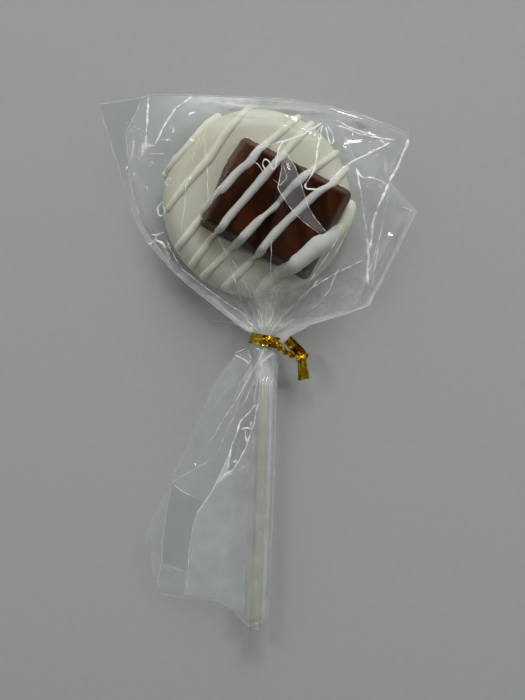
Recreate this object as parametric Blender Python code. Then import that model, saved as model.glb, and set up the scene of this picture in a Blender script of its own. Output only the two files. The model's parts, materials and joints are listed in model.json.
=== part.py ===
# A candy coated cake pop in a clear bag, lying on its back with the decorated face up.
# A round coated cake on a paper stick carries a two-finger chocolate wafer piece under
# drizzled icing. A clear bag is drawn over the head and closed on the stick with a gold
# twist tie, and its open end hangs down along the stick as a loose skirt.
# Sizes below are millimetres. +Z is out of the decorated face, +Y is towards the head's
# top, and the origin is under the centre of the cake, on the surface that the pop lies on.
import math

import bmesh
import bpy
from mathutils import Matrix, Vector

MM = 0.001

# The round cake with its coating.
CAKE_RADIUS = 33.25
CAKE_THICKNESS = 15.0
CAKE_BACK_Z = 1.0
CAKE_SEGMENTS = 64
RIM_ARC_STEPS = 6
RIM_WAVE = 0.35
RIM_RADIUS = CAKE_THICKNESS / 2
CAKE_MID_Z = CAKE_BACK_Z + RIM_RADIUS
CAKE_TOP_Z = CAKE_BACK_Z + CAKE_THICKNESS
FLAT_RADIUS = CAKE_RADIUS - RIM_RADIUS

# The paper stick, and the coating that runs down round it.
STICK_RADIUS = 2.0
STICK_LENGTH = 152.4
STICK_TIP = Vector((-0.6, -150.3, CAKE_MID_Z))
STICK_LEAN_DEG = 2.0
STICK_SIDES = 24
HOLE_GAP = 0.3
COLLAR_RADIUS = 3.0
COLLAR_END_Y = -43.6

# The two chocolate fingers, in their own directions: across both, and along them.
BAR_CENTRE = Vector((6.6, -3.0))
BAR_TURN_DEG = -27.5
BAR_ACROSS = 40.5
BAR_ALONG = 34.0
BAR_HEIGHT = 9.6
BAR_BASE_Z = CAKE_TOP_Z + 0.3
BAR_FOOT = 2.2
BAR_DRAFT = 3.4
GROOVE_FLOOR = 3.4
GROOVE_DRAFT = 3.0
BAR_CLEARANCE = 0.35

# The drizzled icing: half round lines that sink a little into what they lie on.
DRIZZLE_RADIUS = 1.6
DRIZZLE_SINK = 0.45
DRIZZLE_STEP = 2.6
DRIZZLE_LINES = (
    ((-32.4, 9.3), (-23.1, 20.5), (-11.6, 31.0)),
    ((-31.6, -3.2), (-15.4, 17.0), (-2.3, 33.2)),
    ((-27.8, -16.3), (-20.6, -6.5), (-8.0, 10.0), (1.8, 19.1), (15.2, 29.0)),
    ((-22.8, -22.7), (-13.3, -9.6), (3.3, 8.6), (9.8, 17.0), (18.8, 26.6)),
    ((-19.0, -26.0), (-9.8, -17.0), (0.0, -8.1), (8.8, 1.2), (16.5, 10.0), (27.6, 17.6)),
    ((-11.4, -30.2), (0.0, -18.0), (14.7, -3.7), (25.9, 6.1), (30.6, 11.6)),
)
WIDE_DRIZZLE = ((-1.0, -31.6), (6.7, -24.2), (14.0, -19.6), (23.1, -12.1), (30.0, -5.4), (32.4, 0.6))
WIDE_DRIZZLE_RADII = (1.5, 2.2, 3.3, 3.4, 2.6, 1.5)

# The bag lies as a flat sleeve whose width changes from its closed top edge down to its
# mouth. Each row is the left and the right edge of one section, from the top down.
BAG_SECTIONS = (
    ((-55.6, 34.5), (53.9, 24.0)),
    ((-50.9, 20.0), (48.3, 13.1)),
    ((-48.7, 13.3), (47.6, 6.5)),
    ((-45.2, 2.6), (56.3, -2.3)),
    ((-42.2, -7.2), (52.0, -11.0)),
    ((-38.4, -14.0), (48.0, -19.0)),
    ((-27.8, -25.0), (43.5, -28.0)),
    ((-14.0, -34.8), (39.5, -35.9)),
    ((-9.0, -38.6), (32.6, -38.6)),
    ((-5.6, -41.6), (15.4, -42.0)),
    ((-1.6, -45.2), (7.8, -45.2)),
    ((-1.8, -51.6), (7.6, -51.6)),
    ((-7.7, -55.4), (7.4, -56.0)),
    ((-14.7, -62.6), (6.9, -63.0)),
    ((-28.7, -93.6), (6.0, -93.6)),
    ((-39.9, -118.1), (5.1, -118.0)),
    ((-35.4, -136.7), (3.6, -146.0)),
)
BAG_TOP_EDGE = (
    (-55.6, 34.5), (-39.9, 36.9), (-36.8, 38.0), (-22.7, 37.8), (-14.7, 37.5),
    (0.0, 36.9), (11.5, 36.2), (25.5, 33.8), (44.8, 27.8), (53.9, 24.0),
)
BAG_MOUTH_EDGE = (
    (-35.4, -136.7), (-24.9, -138.4), (-13.3, -139.5), (-8.4, -143.0), (-2.8, -148.4), (3.6, -146.0),
)
BAG_NECK_Y = -48.5
BAG_NECK_RADIUS = 4.7
NECK_FLARE = (2.6, 4.4)
NECK_FLARE_RADIUS = 4.0
NECK_ZONE = 13.0
NECK_STEP = 1.6
BAG_WALL = 0.65
BAG_EDGE = 0.5
BAG_SLIT = 0.15
BAG_INSET = 2.0
BAG_MOUTH_INSET = 1.0
BAG_OVER_CAKE = 2.6
BAG_OVER_BAR = 3.0
BAR_TENT_SLOPE = 0.9
BAR_TENT_MARGIN = 1.6
BAG_EDGE_RUN = 6.0
POUCH_START_RADIUS = 28.6
NEAR_EDGE = 7.0
NECK_BLEND_START = 32.0
NECK_BLEND_END = 45.0
SLEEVE_RADIUS = 3.35
SLEEVE_REACH = 4.3
SKIRT_HALF = 1.1
SKIRT_DROOP = 5.0
BAG_COLUMNS = 19
BAG_STEP = 5.5
BAG_TOP_STEPS = (0.7, 1.6, 3.2, 5.6, 9.0)
BAG_EDGE_FADE = 24.0

# The gold twist tie.
TIE_Y = -48.3
TIE_TILT_DEG = -9.0
TIE_INNER_RADIUS = 5.3
TIE_THICKNESS = 0.7
TIE_WIDTH = 3.8
TIE_SIDES = 32
TWIST_START = Vector((8.6, -49.6, 9.6))
KNOT = Vector((16.4, -54.0, 10.0))
TWIST_TURNS = 1.4
TWIST_SIZE = (2.7, 1.7)
TAIL_END = Vector((15.8, -62.0, 8.2))
ARM_START = Vector((10.6, -47.9, 10.4))
RIBBON_THICKNESS = 0.7

for leftover in list(bpy.data.objects):
    bpy.data.objects.remove(leftover, do_unlink=True)


def mix(a, b, share):
    return a + (b - a) * share


def ease(low, high, value):
    share = min(max((value - low) / (high - low), 0.0), 1.0)
    return share * share * (3 - 2 * share)


def height_on(points, x):
    # The second number of a line of points at x, read between its neighbours.
    for (x0, y0), (x1, y1) in zip(points, points[1:]):
        if x <= x1:
            return mix(y0, y1, min(max((x - x0) / (x1 - x0), 0.0), 1.0))
    return points[-1][1]


def surface_material(name, colour, roughness, metallic=0.0, alpha=1.0):
    made = bpy.data.materials.new(name)
    made.use_nodes = True
    shader = made.node_tree.nodes["Principled BSDF"]
    shader.inputs["Base Color"].default_value = (*colour, 1.0)
    shader.inputs["Roughness"].default_value = roughness
    shader.inputs["Metallic"].default_value = metallic
    shader.inputs["Alpha"].default_value = alpha
    return made


def finish(bm, name, surface=None):
    # Turns a mesh drawn in millimetres into an object in metres.
    bmesh.ops.scale(bm, vec=(MM, MM, MM), verts=bm.verts)
    bmesh.ops.recalc_face_normals(bm, faces=bm.faces)
    mesh = bpy.data.meshes.new(name)
    bm.to_mesh(mesh)
    bm.free()
    made = bpy.data.objects.new(name, mesh)
    bpy.context.scene.collection.objects.link(made)
    if surface:
        mesh.materials.append(surface)
    return made


def as_cutter(made):
    made.hide_render = True
    made.display_type = "WIRE"
    return made


def combine(target, tool, operation):
    step = target.modifiers.new(operation.title(), "BOOLEAN")
    step.operation = operation
    step.solver = "EXACT"
    step.object = tool
    return step


def shade_round(made, degrees=35):
    made.data.shade_smooth()
    made.data.set_sharp_from_angle(angle=math.radians(degrees))


def stick_axis_x(y):
    # The stick's axis at a height along the pop.
    return STICK_TIP.x + (y - STICK_TIP.y) * math.tan(math.radians(STICK_LEAN_DEG))


def stick_point(y):
    return Vector((stick_axis_x(y), y, CAKE_MID_Z))


def rod(start, end, radius, sides, name):
    # A closed round rod between two points.
    along = end - start
    bm = bmesh.new()
    turn = along.to_track_quat("Z", "Y").to_matrix().to_4x4()
    place = Matrix.Translation((start + end) / 2) @ turn
    bmesh.ops.create_cone(
        bm, cap_ends=True, segments=sides, radius1=radius, radius2=radius, depth=along.length, matrix=place
    )
    return finish(bm, name)


def cake_surface(x, y, lift):
    # The point of the cake's upper face over x, y, moved out of the surface by lift.
    radius = math.hypot(x, y)
    if radius <= FLAT_RADIUS:
        return Vector((x, y, CAKE_TOP_Z + lift))
    across = min(radius - FLAT_RADIUS, RIM_RADIUS * 0.97)
    up = math.sqrt(RIM_RADIUS**2 - across**2)
    reach = (FLAT_RADIUS + across * (RIM_RADIUS + lift) / RIM_RADIUS) / radius
    return Vector((x * reach, y * reach, CAKE_MID_Z + up * (RIM_RADIUS + lift) / RIM_RADIUS))


def bar_local(x, y):
    turn = math.radians(BAR_TURN_DEG)
    dx, dy = x - BAR_CENTRE.x, y - BAR_CENTRE.y
    return dx * math.cos(turn) + dy * math.sin(turn), -dx * math.sin(turn) + dy * math.cos(turn)


def bar_rise(x, y):
    # How far the fingers' surface stands above the piece's base over x, y.
    across, along = bar_local(x, y)
    side = BAR_ACROSS / 2 - abs(across)
    end = BAR_ALONG / 2 - abs(along)
    slope = (BAR_HEIGHT - BAR_FOOT) / BAR_DRAFT
    outside = BAR_FOOT + slope * min(side, end)
    groove = GROOVE_FLOOR + (BAR_HEIGHT - GROOVE_FLOOR) * abs(across) / GROOVE_DRAFT
    return max(min(BAR_HEIGHT, outside, groove), 0.0)


def smooth_line(points, step):
    # Points at an even step along a smooth curve through the given ones.
    ends = [2 * points[0] - points[1], *points, 2 * points[-1] - points[-2]]
    fine = []
    for a, b, c, d in zip(ends, ends[1:], ends[2:], ends[3:]):
        for k in range(12):
            t = k / 12
            fine.append(
                0.5 * (2 * b + (c - a) * t + (2 * a - 5 * b + 4 * c - d) * t**2 + (3 * b - a - 3 * c + d) * t**3)
            )
    fine.append(points[-1])
    total = sum((q - p).length for p, q in zip(fine, fine[1:]))
    count = max(round(total / step), 2)
    spaced, gone, target = [fine[0]], 0.0, total / count
    for p, q in zip(fine, fine[1:]):
        length = (q - p).length
        while gone + length >= target - 1e-6 and len(spaced) < count:
            spaced.append(p.lerp(q, (target - gone) / length))
            target += total / count
        gone += length
    spaced.append(fine[-1])
    return spaced


def drizzle_tube(points, radii, name):
    # One drizzled line as a closed tube along the points.
    curve = bpy.data.curves.new(name, "CURVE")
    curve.dimensions = "3D"
    curve.bevel_depth = DRIZZLE_RADIUS * MM
    curve.bevel_resolution = 2
    curve.use_fill_caps = True
    spline = curve.splines.new("POLY")
    spline.points.add(len(points) - 1)
    for slot, point, radius in zip(spline.points, points, radii):
        slot.co = (*(point * MM), 1.0)
        slot.radius = radius / DRIZZLE_RADIUS
    made = bpy.data.objects.new(name, curve)
    bpy.context.scene.collection.objects.link(made)
    return made


def drizzle_radii(line, spaced):
    # The wide line swells in its middle, and every line is thinner at its two ends.
    last = len(spaced) - 1
    radii = []
    for k in range(last + 1):
        at = k / last
        if line is WIDE_DRIZZLE:
            knots = [(n / (len(WIDE_DRIZZLE_RADII) - 1), r) for n, r in enumerate(WIDE_DRIZZLE_RADII)]
            radii.append(height_on(knots, at))
        else:
            taper = 0.82 + 0.18 * math.sin(math.pi * at)
            radii.append(DRIZZLE_RADIUS * taper * (1 + 0.06 * math.sin(5 * at + line[0][1])))
    return radii


def drizzle_set(name, on_bar):
    # All the lines at the height of the cake, or at the height of the chocolate, as one mesh.
    tubes = []
    for number, line in enumerate((*DRIZZLE_LINES, WIDE_DRIZZLE)):
        flat = smooth_line([Vector((*p, 0.0)) for p in line], DRIZZLE_STEP)
        radii = drizzle_radii(line, flat)
        points = []
        for p, radius in zip(flat, radii):
            sink = DRIZZLE_SINK + (radius - DRIZZLE_RADIUS) * 0.75
            if on_bar:
                points.append(Vector((p.x, p.y, BAR_BASE_Z + bar_rise(p.x, p.y) - sink)))
            else:
                points.append(cake_surface(p.x, p.y, -sink))
        tubes.append(drizzle_tube(points, radii, f"{name} {number}"))
    view = bpy.context.evaluated_depsgraph_get()
    bm = bmesh.new()
    for tube in tubes:
        mesh = bpy.data.meshes.new_from_object(tube.evaluated_get(view))
        bm.from_mesh(mesh)
        bpy.data.objects.remove(tube, do_unlink=True)
    bmesh.ops.remove_doubles(bm, verts=bm.verts, dist=0.00001)
    bmesh.ops.recalc_face_normals(bm, faces=bm.faces)
    mesh = bpy.data.meshes.new(name)
    bm.to_mesh(mesh)
    bm.free()
    made = bpy.data.objects.new(name, mesh)
    bpy.context.scene.collection.objects.link(made)
    return as_cutter(made)


def bar_prism(name, margin, bottom, top):
    # An upright block over the chocolate's footprint, grown by a margin.
    bm = bmesh.new()
    bmesh.ops.create_cube(bm, size=1.0)
    size = (BAR_ACROSS + 2 * margin, BAR_ALONG + 2 * margin, top - bottom)
    turn = Matrix.Rotation(math.radians(BAR_TURN_DEG), 4, "Z")
    place = Matrix.Translation((*BAR_CENTRE, (top + bottom) / 2)) @ turn
    bmesh.ops.scale(bm, vec=size, verts=bm.verts)
    bmesh.ops.transform(bm, matrix=place, verts=bm.verts)
    return as_cutter(finish(bm, name))


def make_cake():
    # The profile is turned round the upright axis, then the rim gets its slow waves.
    profile = [Vector((0, 0, CAKE_TOP_Z)), Vector((FLAT_RADIUS * 0.6, 0, CAKE_TOP_Z))]
    for k in range(2 * RIM_ARC_STEPS + 1):
        turn = math.pi / 2 - math.pi * k / (2 * RIM_ARC_STEPS)
        out, up = RIM_RADIUS * math.cos(turn), RIM_RADIUS * math.sin(turn)
        profile.append(Vector((FLAT_RADIUS + out, 0, CAKE_MID_Z + up)))
    profile += [Vector((FLAT_RADIUS * 0.6, 0, CAKE_BACK_Z)), Vector((0, 0, CAKE_BACK_Z))]
    bm = bmesh.new()
    line = [bm.verts.new(p) for p in profile]
    edges = [bm.edges.new(pair) for pair in zip(line, line[1:])]
    bmesh.ops.spin(
        bm, geom=line + edges, cent=(0, 0, 0), axis=(0, 0, 1), angle=math.tau, steps=CAKE_SEGMENTS, use_merge=True
    )
    bmesh.ops.remove_doubles(bm, verts=bm.verts, dist=0.001)
    for vert in bm.verts:
        radius = math.hypot(vert.co.x, vert.co.y)
        if radius > FLAT_RADIUS:
            turn = math.atan2(vert.co.y, vert.co.x)
            wave = math.sin(3 * turn + 0.6) * 0.6 + math.sin(5 * turn + 2.0) * 0.4
            grow = 1 - RIM_WAVE * (0.5 + 0.5 * wave) * (radius - FLAT_RADIUS) / RIM_RADIUS / radius
            vert.co.x *= grow
            vert.co.y *= grow
    cake = finish(bm, "coated_cake", surface_material("candy coating", (0.78, 0.74, 0.63), 0.4))
    collar = rod(stick_point(-FLAT_RADIUS), stick_point(COLLAR_END_Y), COLLAR_RADIUS, STICK_SIDES, "collar")
    combine(cake, as_cutter(collar), "UNION")
    lines = drizzle_set("cake drizzle", False)
    combine(lines, bar_prism("bar clearance", BAR_CLEARANCE, 0.0, 2 * CAKE_TOP_Z), "DIFFERENCE")
    combine(cake, lines, "UNION")
    stick_top = stick_end()
    hole = rod(
        stick_top + (stick_top - STICK_TIP).normalized() * HOLE_GAP,
        stick_point(COLLAR_END_Y - 5),
        STICK_RADIUS + HOLE_GAP,
        STICK_SIDES,
        "stick hole",
    )
    combine(cake, as_cutter(hole), "DIFFERENCE")
    return cake


def stick_end():
    # The hidden end of the stick, inside the cake.
    lean = math.radians(STICK_LEAN_DEG)
    return STICK_TIP + Vector((math.sin(lean), math.cos(lean), 0)) * STICK_LENGTH


def make_bar():
    # Two moulded fingers on one foot: each rises with drafted sides to a flat top.
    bm = bmesh.new()
    bmesh.ops.create_cube(bm, size=1.0)
    bmesh.ops.scale(bm, vec=(BAR_ACROSS, BAR_ALONG, BAR_FOOT), verts=bm.verts)
    bmesh.ops.translate(bm, vec=(0, 0, BAR_FOOT / 2), verts=bm.verts)
    bar = finish(bm, "chocolate_bar_piece", surface_material("milk chocolate", (0.09, 0.03, 0.012), 0.45))
    half = BAR_ACROSS / 2
    groove_low = GROOVE_DRAFT * (BAR_FOOT - GROOVE_FLOOR) / (BAR_HEIGHT - GROOVE_FLOOR)
    for side in (-1, 1):
        low = [(side * half, BAR_ALONG / 2), (side * groove_low, BAR_ALONG / 2)]
        top = [(side * (half - BAR_DRAFT), BAR_ALONG / 2 - BAR_DRAFT), (side * GROOVE_DRAFT, BAR_ALONG / 2 - BAR_DRAFT)]
        rings = []
        bm = bmesh.new()
        for level, corners in ((BAR_FOOT, low), (BAR_HEIGHT, top)):
            (x0, y), (x1, _) = corners
            ring = [bm.verts.new((x, s * y, level)) for x, s in ((x0, 1), (x1, 1), (x1, -1), (x0, -1))]
            rings.append(ring)
        bottom = [bm.verts.new((v.co.x, v.co.y, BAR_FOOT / 2)) for v in rings[0]]
        rings.insert(0, bottom)
        for ring in rings:
            for k in range(4):
                bm.edges.new((ring[k], ring[k - 1]))
        bm.faces.new(rings[0])
        bm.faces.new(rings[-1])
        for lower, upper in zip(rings, rings[1:]):
            loops = [e for e in bm.edges if set(e.verts) <= set(lower) or set(e.verts) <= set(upper)]
            bmesh.ops.bridge_loops(bm, edges=loops)
        combine(bar, as_cutter(finish(bm, f"finger {side}")), "UNION")
    place = Matrix.Translation((BAR_CENTRE.x * MM, BAR_CENTRE.y * MM, BAR_BASE_Z * MM))
    bar.matrix_world = place @ Matrix.Rotation(math.radians(BAR_TURN_DEG), 4, "Z")
    for step in bar.modifiers:
        step.object.matrix_world = bar.matrix_world
    lines = drizzle_set("bar drizzle", True)
    combine(lines, bar_prism("bar footprint", -BAR_CLEARANCE / 2, BAR_BASE_Z + 0.5, 2 * CAKE_TOP_Z), "INTERSECT")
    combine(bar, lines, "UNION")
    return bar


def make_stick():
    stick = rod(stick_end(), STICK_TIP, STICK_RADIUS, STICK_SIDES, "paper_stick")
    stick.data.materials.append(surface_material("white paper", (0.72, 0.7, 0.66), 0.8))
    shade_round(stick)
    return stick


def pouch_outline():
    # The outline of the part of the bag that holds the head, down to its neck.
    rows = [row for row in BAG_SECTIONS if row[0][1] > BAG_NECK_Y]
    left = [row[0] for row in rows[1:]]
    right = [row[1] for row in rows[1:]]
    return [*BAG_TOP_EDGE, *right, *reversed(left)]


def outline_reach(outline, angle):
    # How far the outline is from the origin in one direction.
    ray = Vector((math.cos(angle), math.sin(angle)))
    reach = 0.0
    for a, b in zip(outline, outline[1:] + outline[:1]):
        a, b = Vector(a), Vector(b)
        edge = b - a
        cross = ray.x * edge.y - ray.y * edge.x
        if abs(cross) < 1e-9:
            continue
        far = (a.x * edge.y - a.y * edge.x) / cross
        at = (a.x * ray.y - a.y * ray.x) / cross
        if far > 0 and -1e-6 <= at <= 1 + 1e-6:
            reach = max(reach, far)
    return reach


def tent(radius, reach):
    # 1 over the cake, falling to 0 at the bag's edge: round where the edge is near, straight where it is far.
    far = min(max((radius - POUCH_START_RADIUS) / max(reach - POUCH_START_RADIUS, 0.5), 0.0), 1.0)
    power = 1.05 + 0.95 * math.exp(-max(reach - CAKE_RADIUS - 2, 0.0) / NEAR_EDGE)
    return (1 - far**power) ** (1 / power)


def past_bar_top(x, y):
    # How far x, y lies outside the part of the bag that the chocolate fingers hold up.
    across, along = bar_local(x, y)
    out_across = max(abs(across) - BAR_ACROSS / 2 + BAR_DRAFT - BAR_TENT_MARGIN, 0.0)
    out_along = max(abs(along) - BAR_ALONG / 2 + BAR_DRAFT - BAR_TENT_MARGIN, 0.0)
    return math.hypot(out_across, out_along)


def bag_heights(x, y, outline, wall):
    # The bag's upper and lower surface over x, y. The inner surface has wall above zero.
    radius = math.hypot(x, y)
    reach = outline_reach(outline, math.atan2(y, x)) - wall * 2
    share = tent(radius, reach)
    over_cake = (CAKE_TOP_Z + BAG_OVER_CAKE - wall - CAKE_MID_Z) * share
    over_bar = BAR_BASE_Z + BAR_HEIGHT + BAG_OVER_BAR - wall - CAKE_MID_Z - BAR_TENT_SLOPE * past_bar_top(x, y)
    over_bar *= min(max((reach - radius) / BAG_EDGE_RUN, 0.0), 1.0)
    lower = CAKE_MID_Z - (CAKE_MID_Z - wall) * share
    return CAKE_MID_Z + max(over_cake, over_bar), lower


def neck_heights(x, y, wall):
    radius = BAG_NECK_RADIUS
    if wall:
        from_middle = abs(y - BAG_NECK_Y)
        radius = mix(STICK_RADIUS + HOLE_GAP, NECK_FLARE_RADIUS, ease(*NECK_FLARE, from_middle))
    rise = math.sqrt(max(radius**2 - (x - stick_axis_x(y)) ** 2, 0.0))
    return CAKE_MID_Z + rise, CAKE_MID_Z - rise


def skirt_heights(x, y, wall):
    # Round over the stick, then a flat double layer that droops away to the left.
    away = stick_axis_x(y) - x
    share = min(abs(away) / SLEEVE_REACH, 1.0)
    half = SLEEVE_RADIUS * (1 - share**2.4) ** (1 / 2.4)
    if away > 0:
        half = max(half, SKIRT_HALF)
    droop = SKIRT_DROOP * ease(2.0, 34.0, away)
    half = max(half - wall, 0.0)
    return CAKE_MID_Z - droop + half, CAKE_MID_Z - droop - half


def bag_surface(x, y, outline, wall):
    neck_share = ease(NECK_BLEND_START, NECK_BLEND_END, -y)
    skirt_share = ease(-BAG_NECK_Y + 3.2, -BAG_NECK_Y + 9.0, -y)
    pouch = bag_heights(x, y, outline, wall)
    neck = neck_heights(x, y, wall)
    skirt = skirt_heights(x, y, wall)
    upper, lower = (mix(mix(p, n, neck_share), s, skirt_share) for p, n, s in zip(pouch, neck, skirt))
    return upper, lower


def bag_stations():
    # The bag's sections with enough between them, as left point, right point and length from the top.
    stations = []
    start = Vector(BAG_SECTIONS[0][0]), Vector(BAG_SECTIONS[0][1])
    gone = 0.0
    stations.append((*start, 0.0))
    for row in BAG_SECTIONS[1:]:
        left, right = Vector(row[0]), Vector(row[1])
        length = ((left + right) / 2 - (start[0] + start[1]) / 2).length
        step_size = NECK_STEP if abs(left.y - BAG_NECK_Y) < NECK_ZONE / 2 else BAG_STEP
        count = math.ceil(length / step_size)
        steps = [n / count for n in range(1, count + 1)]
        if gone == 0.0:
            steps = [s / length for s in BAG_TOP_STEPS] + [1.0]
        for step in steps:
            stations.append((start[0].lerp(left, step), start[1].lerp(right, step), gone + length * step))
        start = left, right
        gone += length
    return stations


def bag_inset(y):
    # How far the inner surface keeps from the side edges.
    at_neck = BAG_NECK_RADIUS - STICK_RADIUS - HOLE_GAP
    away = BAG_INSET if y > BAG_NECK_Y else BAG_MOUTH_INSET
    flared = mix(at_neck, BAG_NECK_RADIUS - NECK_FLARE_RADIUS, ease(*NECK_FLARE, abs(y - BAG_NECK_Y)))
    return mix(flared, away, ease(NECK_FLARE[1], NECK_FLARE[1] + 4.0, abs(y - BAG_NECK_Y)))


def bag_ring(bm, left, right, gone, total, outline, wall):
    # One closed section of the bag: its upper side from left to right, then its lower side back.
    middle_y = (left.y + right.y) / 2
    if wall:
        inset = bag_inset(middle_y)
        along = (right - left).normalized()
        left, right = left + along * inset, right - along * inset
    top_left, top_right = BAG_SECTIONS[0]
    mouth_left, mouth_right = BAG_SECTIONS[-1]
    edge = BAG_SLIT if wall else BAG_EDGE
    uppers, lowers = [], []
    wide = ease(12.0, 50.0, (right - left).length)
    for k in range(BAG_COLUMNS):
        even = k / (BAG_COLUMNS - 1)
        share = mix(0.5 - 0.5 * math.cos(math.pi * even), even, wide)
        x, y = left.lerp(right, share)
        near_top = max(1 - gone / BAG_EDGE_FADE, 0.0)
        near_mouth = max(1 - (total - gone) / BAG_EDGE_FADE, 0.0)
        y += near_top * (height_on(BAG_TOP_EDGE, x) - height_on((top_left, top_right), x))
        y += near_mouth * (height_on(BAG_MOUTH_EDGE, x) - height_on((mouth_left, mouth_right), x))
        upper, lower = bag_surface(x, y, outline, wall)
        middle = (upper + lower) / 2
        half = max((upper - lower) / 2, edge)
        if gone == 0.0:
            half = edge
        uppers.append(bm.verts.new((x, y, middle + half)))
        lowers.append(bm.verts.new((x, y, middle - half)))
    return uppers + lowers[::-1]


def bridge(bm, first, second):
    count = len(first)
    for k in range(count):
        n = (k + 1) % count
        bm.faces.new((first[k], first[n], second[n], second[k]))


def cap(bm, ring):
    # Closes a flat section with a strip between its upper and its lower side.
    half = len(ring) // 2
    for k in range(half - 1):
        bm.faces.new((ring[k], ring[k + 1], ring[-2 - k], ring[-1 - k]))


def make_bag():
    # The outer surface runs from the closed top edge down to the mouth, turns in there, and
    # the inner surface runs back up to the top, so that the head, the stick and the skirt's
    # hollow are one pocket that opens at the mouth.
    outline = pouch_outline()
    stations = bag_stations()
    total = stations[-1][2]
    bm = bmesh.new()
    outer = [bag_ring(bm, *station, total, outline, 0.0) for station in stations]
    inner = [bag_ring(bm, *station, total, outline, BAG_WALL) for station in stations if station[2] > 1.0]
    for rings in (outer, inner):
        cap(bm, rings[0])
        for first, second in zip(rings, rings[1:]):
            bridge(bm, first, second)
    bridge(bm, outer[-1], inner[-1])
    return finish(bm, "clear_bag", surface_material("clear film", (0.9, 0.92, 0.92), 0.08, alpha=0.25))


def ribbon(points, width_dirs, widths, thickness, name):
    # A closed flat strip along the points, each section with its own width direction.
    bm = bmesh.new()
    rings = []
    for k, point in enumerate(points):
        ahead = points[min(k + 1, len(points) - 1)] - points[max(k - 1, 0)]
        across = width_dirs[k].normalized()
        across = (across - ahead.normalized() * across.dot(ahead.normalized())).normalized()
        up = ahead.normalized().cross(across)
        a, b = across * widths[k] / 2, up * thickness[k] / 2
        rings.append([bm.verts.new(point + s * a + t * b) for s, t in ((-1, -1), (1, -1), (1, 1), (-1, 1))])
    bm.faces.new(rings[0])
    bm.faces.new(rings[-1])
    for first, second in zip(rings, rings[1:]):
        bridge(bm, first, second)
    return finish(bm, name)


def make_tie():
    # A band round the neck, a twisted stalk beside it, and two free ends.
    centre = stick_point(TIE_Y)
    bm = bmesh.new()
    half = TIE_WIDTH / 2
    corners = [
        (TIE_INNER_RADIUS, -half), (TIE_INNER_RADIUS + TIE_THICKNESS, -half),
        (TIE_INNER_RADIUS + TIE_THICKNESS, half), (TIE_INNER_RADIUS, half),
    ]
    ring = [bm.verts.new((out, up, 0)) for out, up in corners]
    edges = [bm.edges.new((ring[k], ring[k - 1])) for k in range(4)]
    bmesh.ops.spin(
        bm, geom=ring + edges, cent=(0, 0, 0), axis=(0, 1, 0), angle=math.tau, steps=TIE_SIDES, use_merge=True
    )
    bmesh.ops.remove_doubles(bm, verts=bm.verts, dist=0.001)
    lean = Matrix.Rotation(math.radians(TIE_TILT_DEG - STICK_LEAN_DEG), 4, "Z")
    bmesh.ops.transform(bm, matrix=Matrix.Translation(centre) @ lean, verts=bm.verts)
    tie = finish(bm, "twist_tie", surface_material("gold foil", (0.7, 0.45, 0.02), 0.25, metallic=1.0))

    steps = 14
    points = [TWIST_START.lerp(KNOT, k / steps) for k in range(steps + 1)]
    turns = [math.tau * TWIST_TURNS * k / steps for k in range(steps + 1)]
    across = [Vector((0.0, math.cos(t), math.sin(t))) for t in turns]
    wide = [TWIST_SIZE[0]] * (steps + 1)
    deep = [TWIST_SIZE[1]] * (steps + 1)
    combine(tie, as_cutter(ribbon(points, across, wide, deep, "twist")), "UNION")

    along = KNOT - TWIST_START
    arm = [ARM_START.lerp(KNOT + along.normalized() * 0.6, k / 4) for k in range(5)]
    facing = [Vector((0.3, 1.0, 0.25))] * 5
    combine(tie, as_cutter(ribbon(arm, facing, [3.6] * 5, [RIBBON_THICKNESS] * 5, "upper arm")), "UNION")

    bend = KNOT + Vector((0.6, -1.2, 0.6))
    tail = smooth_line([KNOT, bend, TAIL_END], 1.6)
    last = len(tail) - 1
    wide = [mix(2.6, 4.4, k / last) for k in range(last + 1)]
    facing = [Vector((1.0, 0.1, 0.35 - 0.5 * k / last)) for k in range(last + 1)]
    combine(tie, as_cutter(ribbon(tail, facing, wide, [RIBBON_THICKNESS] * (last + 1), "tail")), "UNION")
    return tie


make_cake()
make_bar()
make_stick()
make_bag()
make_tie()
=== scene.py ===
# A wrapped cake pop, lying face up, seen from straight above: candy coated cake, chocolate wafer
# piece, drizzled icing, paper stick, crinkled clear bag and gold twist tie.
# Shapes are drawn in millimetres and turned to metres when a piece is finished.
import json
import math
import random

import bmesh
import bpy
import numpy as np
from mathutils import Matrix, Vector, noise
from mathutils.bvhtree import BVHTree

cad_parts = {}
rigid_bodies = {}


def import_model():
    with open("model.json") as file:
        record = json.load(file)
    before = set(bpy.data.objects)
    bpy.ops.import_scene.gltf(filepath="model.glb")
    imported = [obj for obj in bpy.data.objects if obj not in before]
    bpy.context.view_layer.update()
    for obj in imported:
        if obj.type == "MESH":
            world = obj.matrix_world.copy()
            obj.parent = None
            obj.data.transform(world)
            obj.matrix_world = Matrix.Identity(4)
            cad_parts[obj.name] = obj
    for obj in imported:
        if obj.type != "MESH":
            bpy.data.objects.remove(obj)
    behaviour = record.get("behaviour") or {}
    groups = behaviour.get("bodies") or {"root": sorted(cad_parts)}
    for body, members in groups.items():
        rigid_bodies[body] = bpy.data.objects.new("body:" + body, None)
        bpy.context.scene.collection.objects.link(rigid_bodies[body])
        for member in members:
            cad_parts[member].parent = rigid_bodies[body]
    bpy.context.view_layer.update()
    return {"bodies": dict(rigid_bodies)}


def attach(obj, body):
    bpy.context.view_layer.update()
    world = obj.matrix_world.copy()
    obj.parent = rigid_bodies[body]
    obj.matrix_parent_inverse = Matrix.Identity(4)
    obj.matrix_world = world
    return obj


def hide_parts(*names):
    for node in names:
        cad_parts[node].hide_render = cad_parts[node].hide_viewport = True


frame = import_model()
millimetre = 0.001
body = next(iter(frame["bodies"]))

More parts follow.
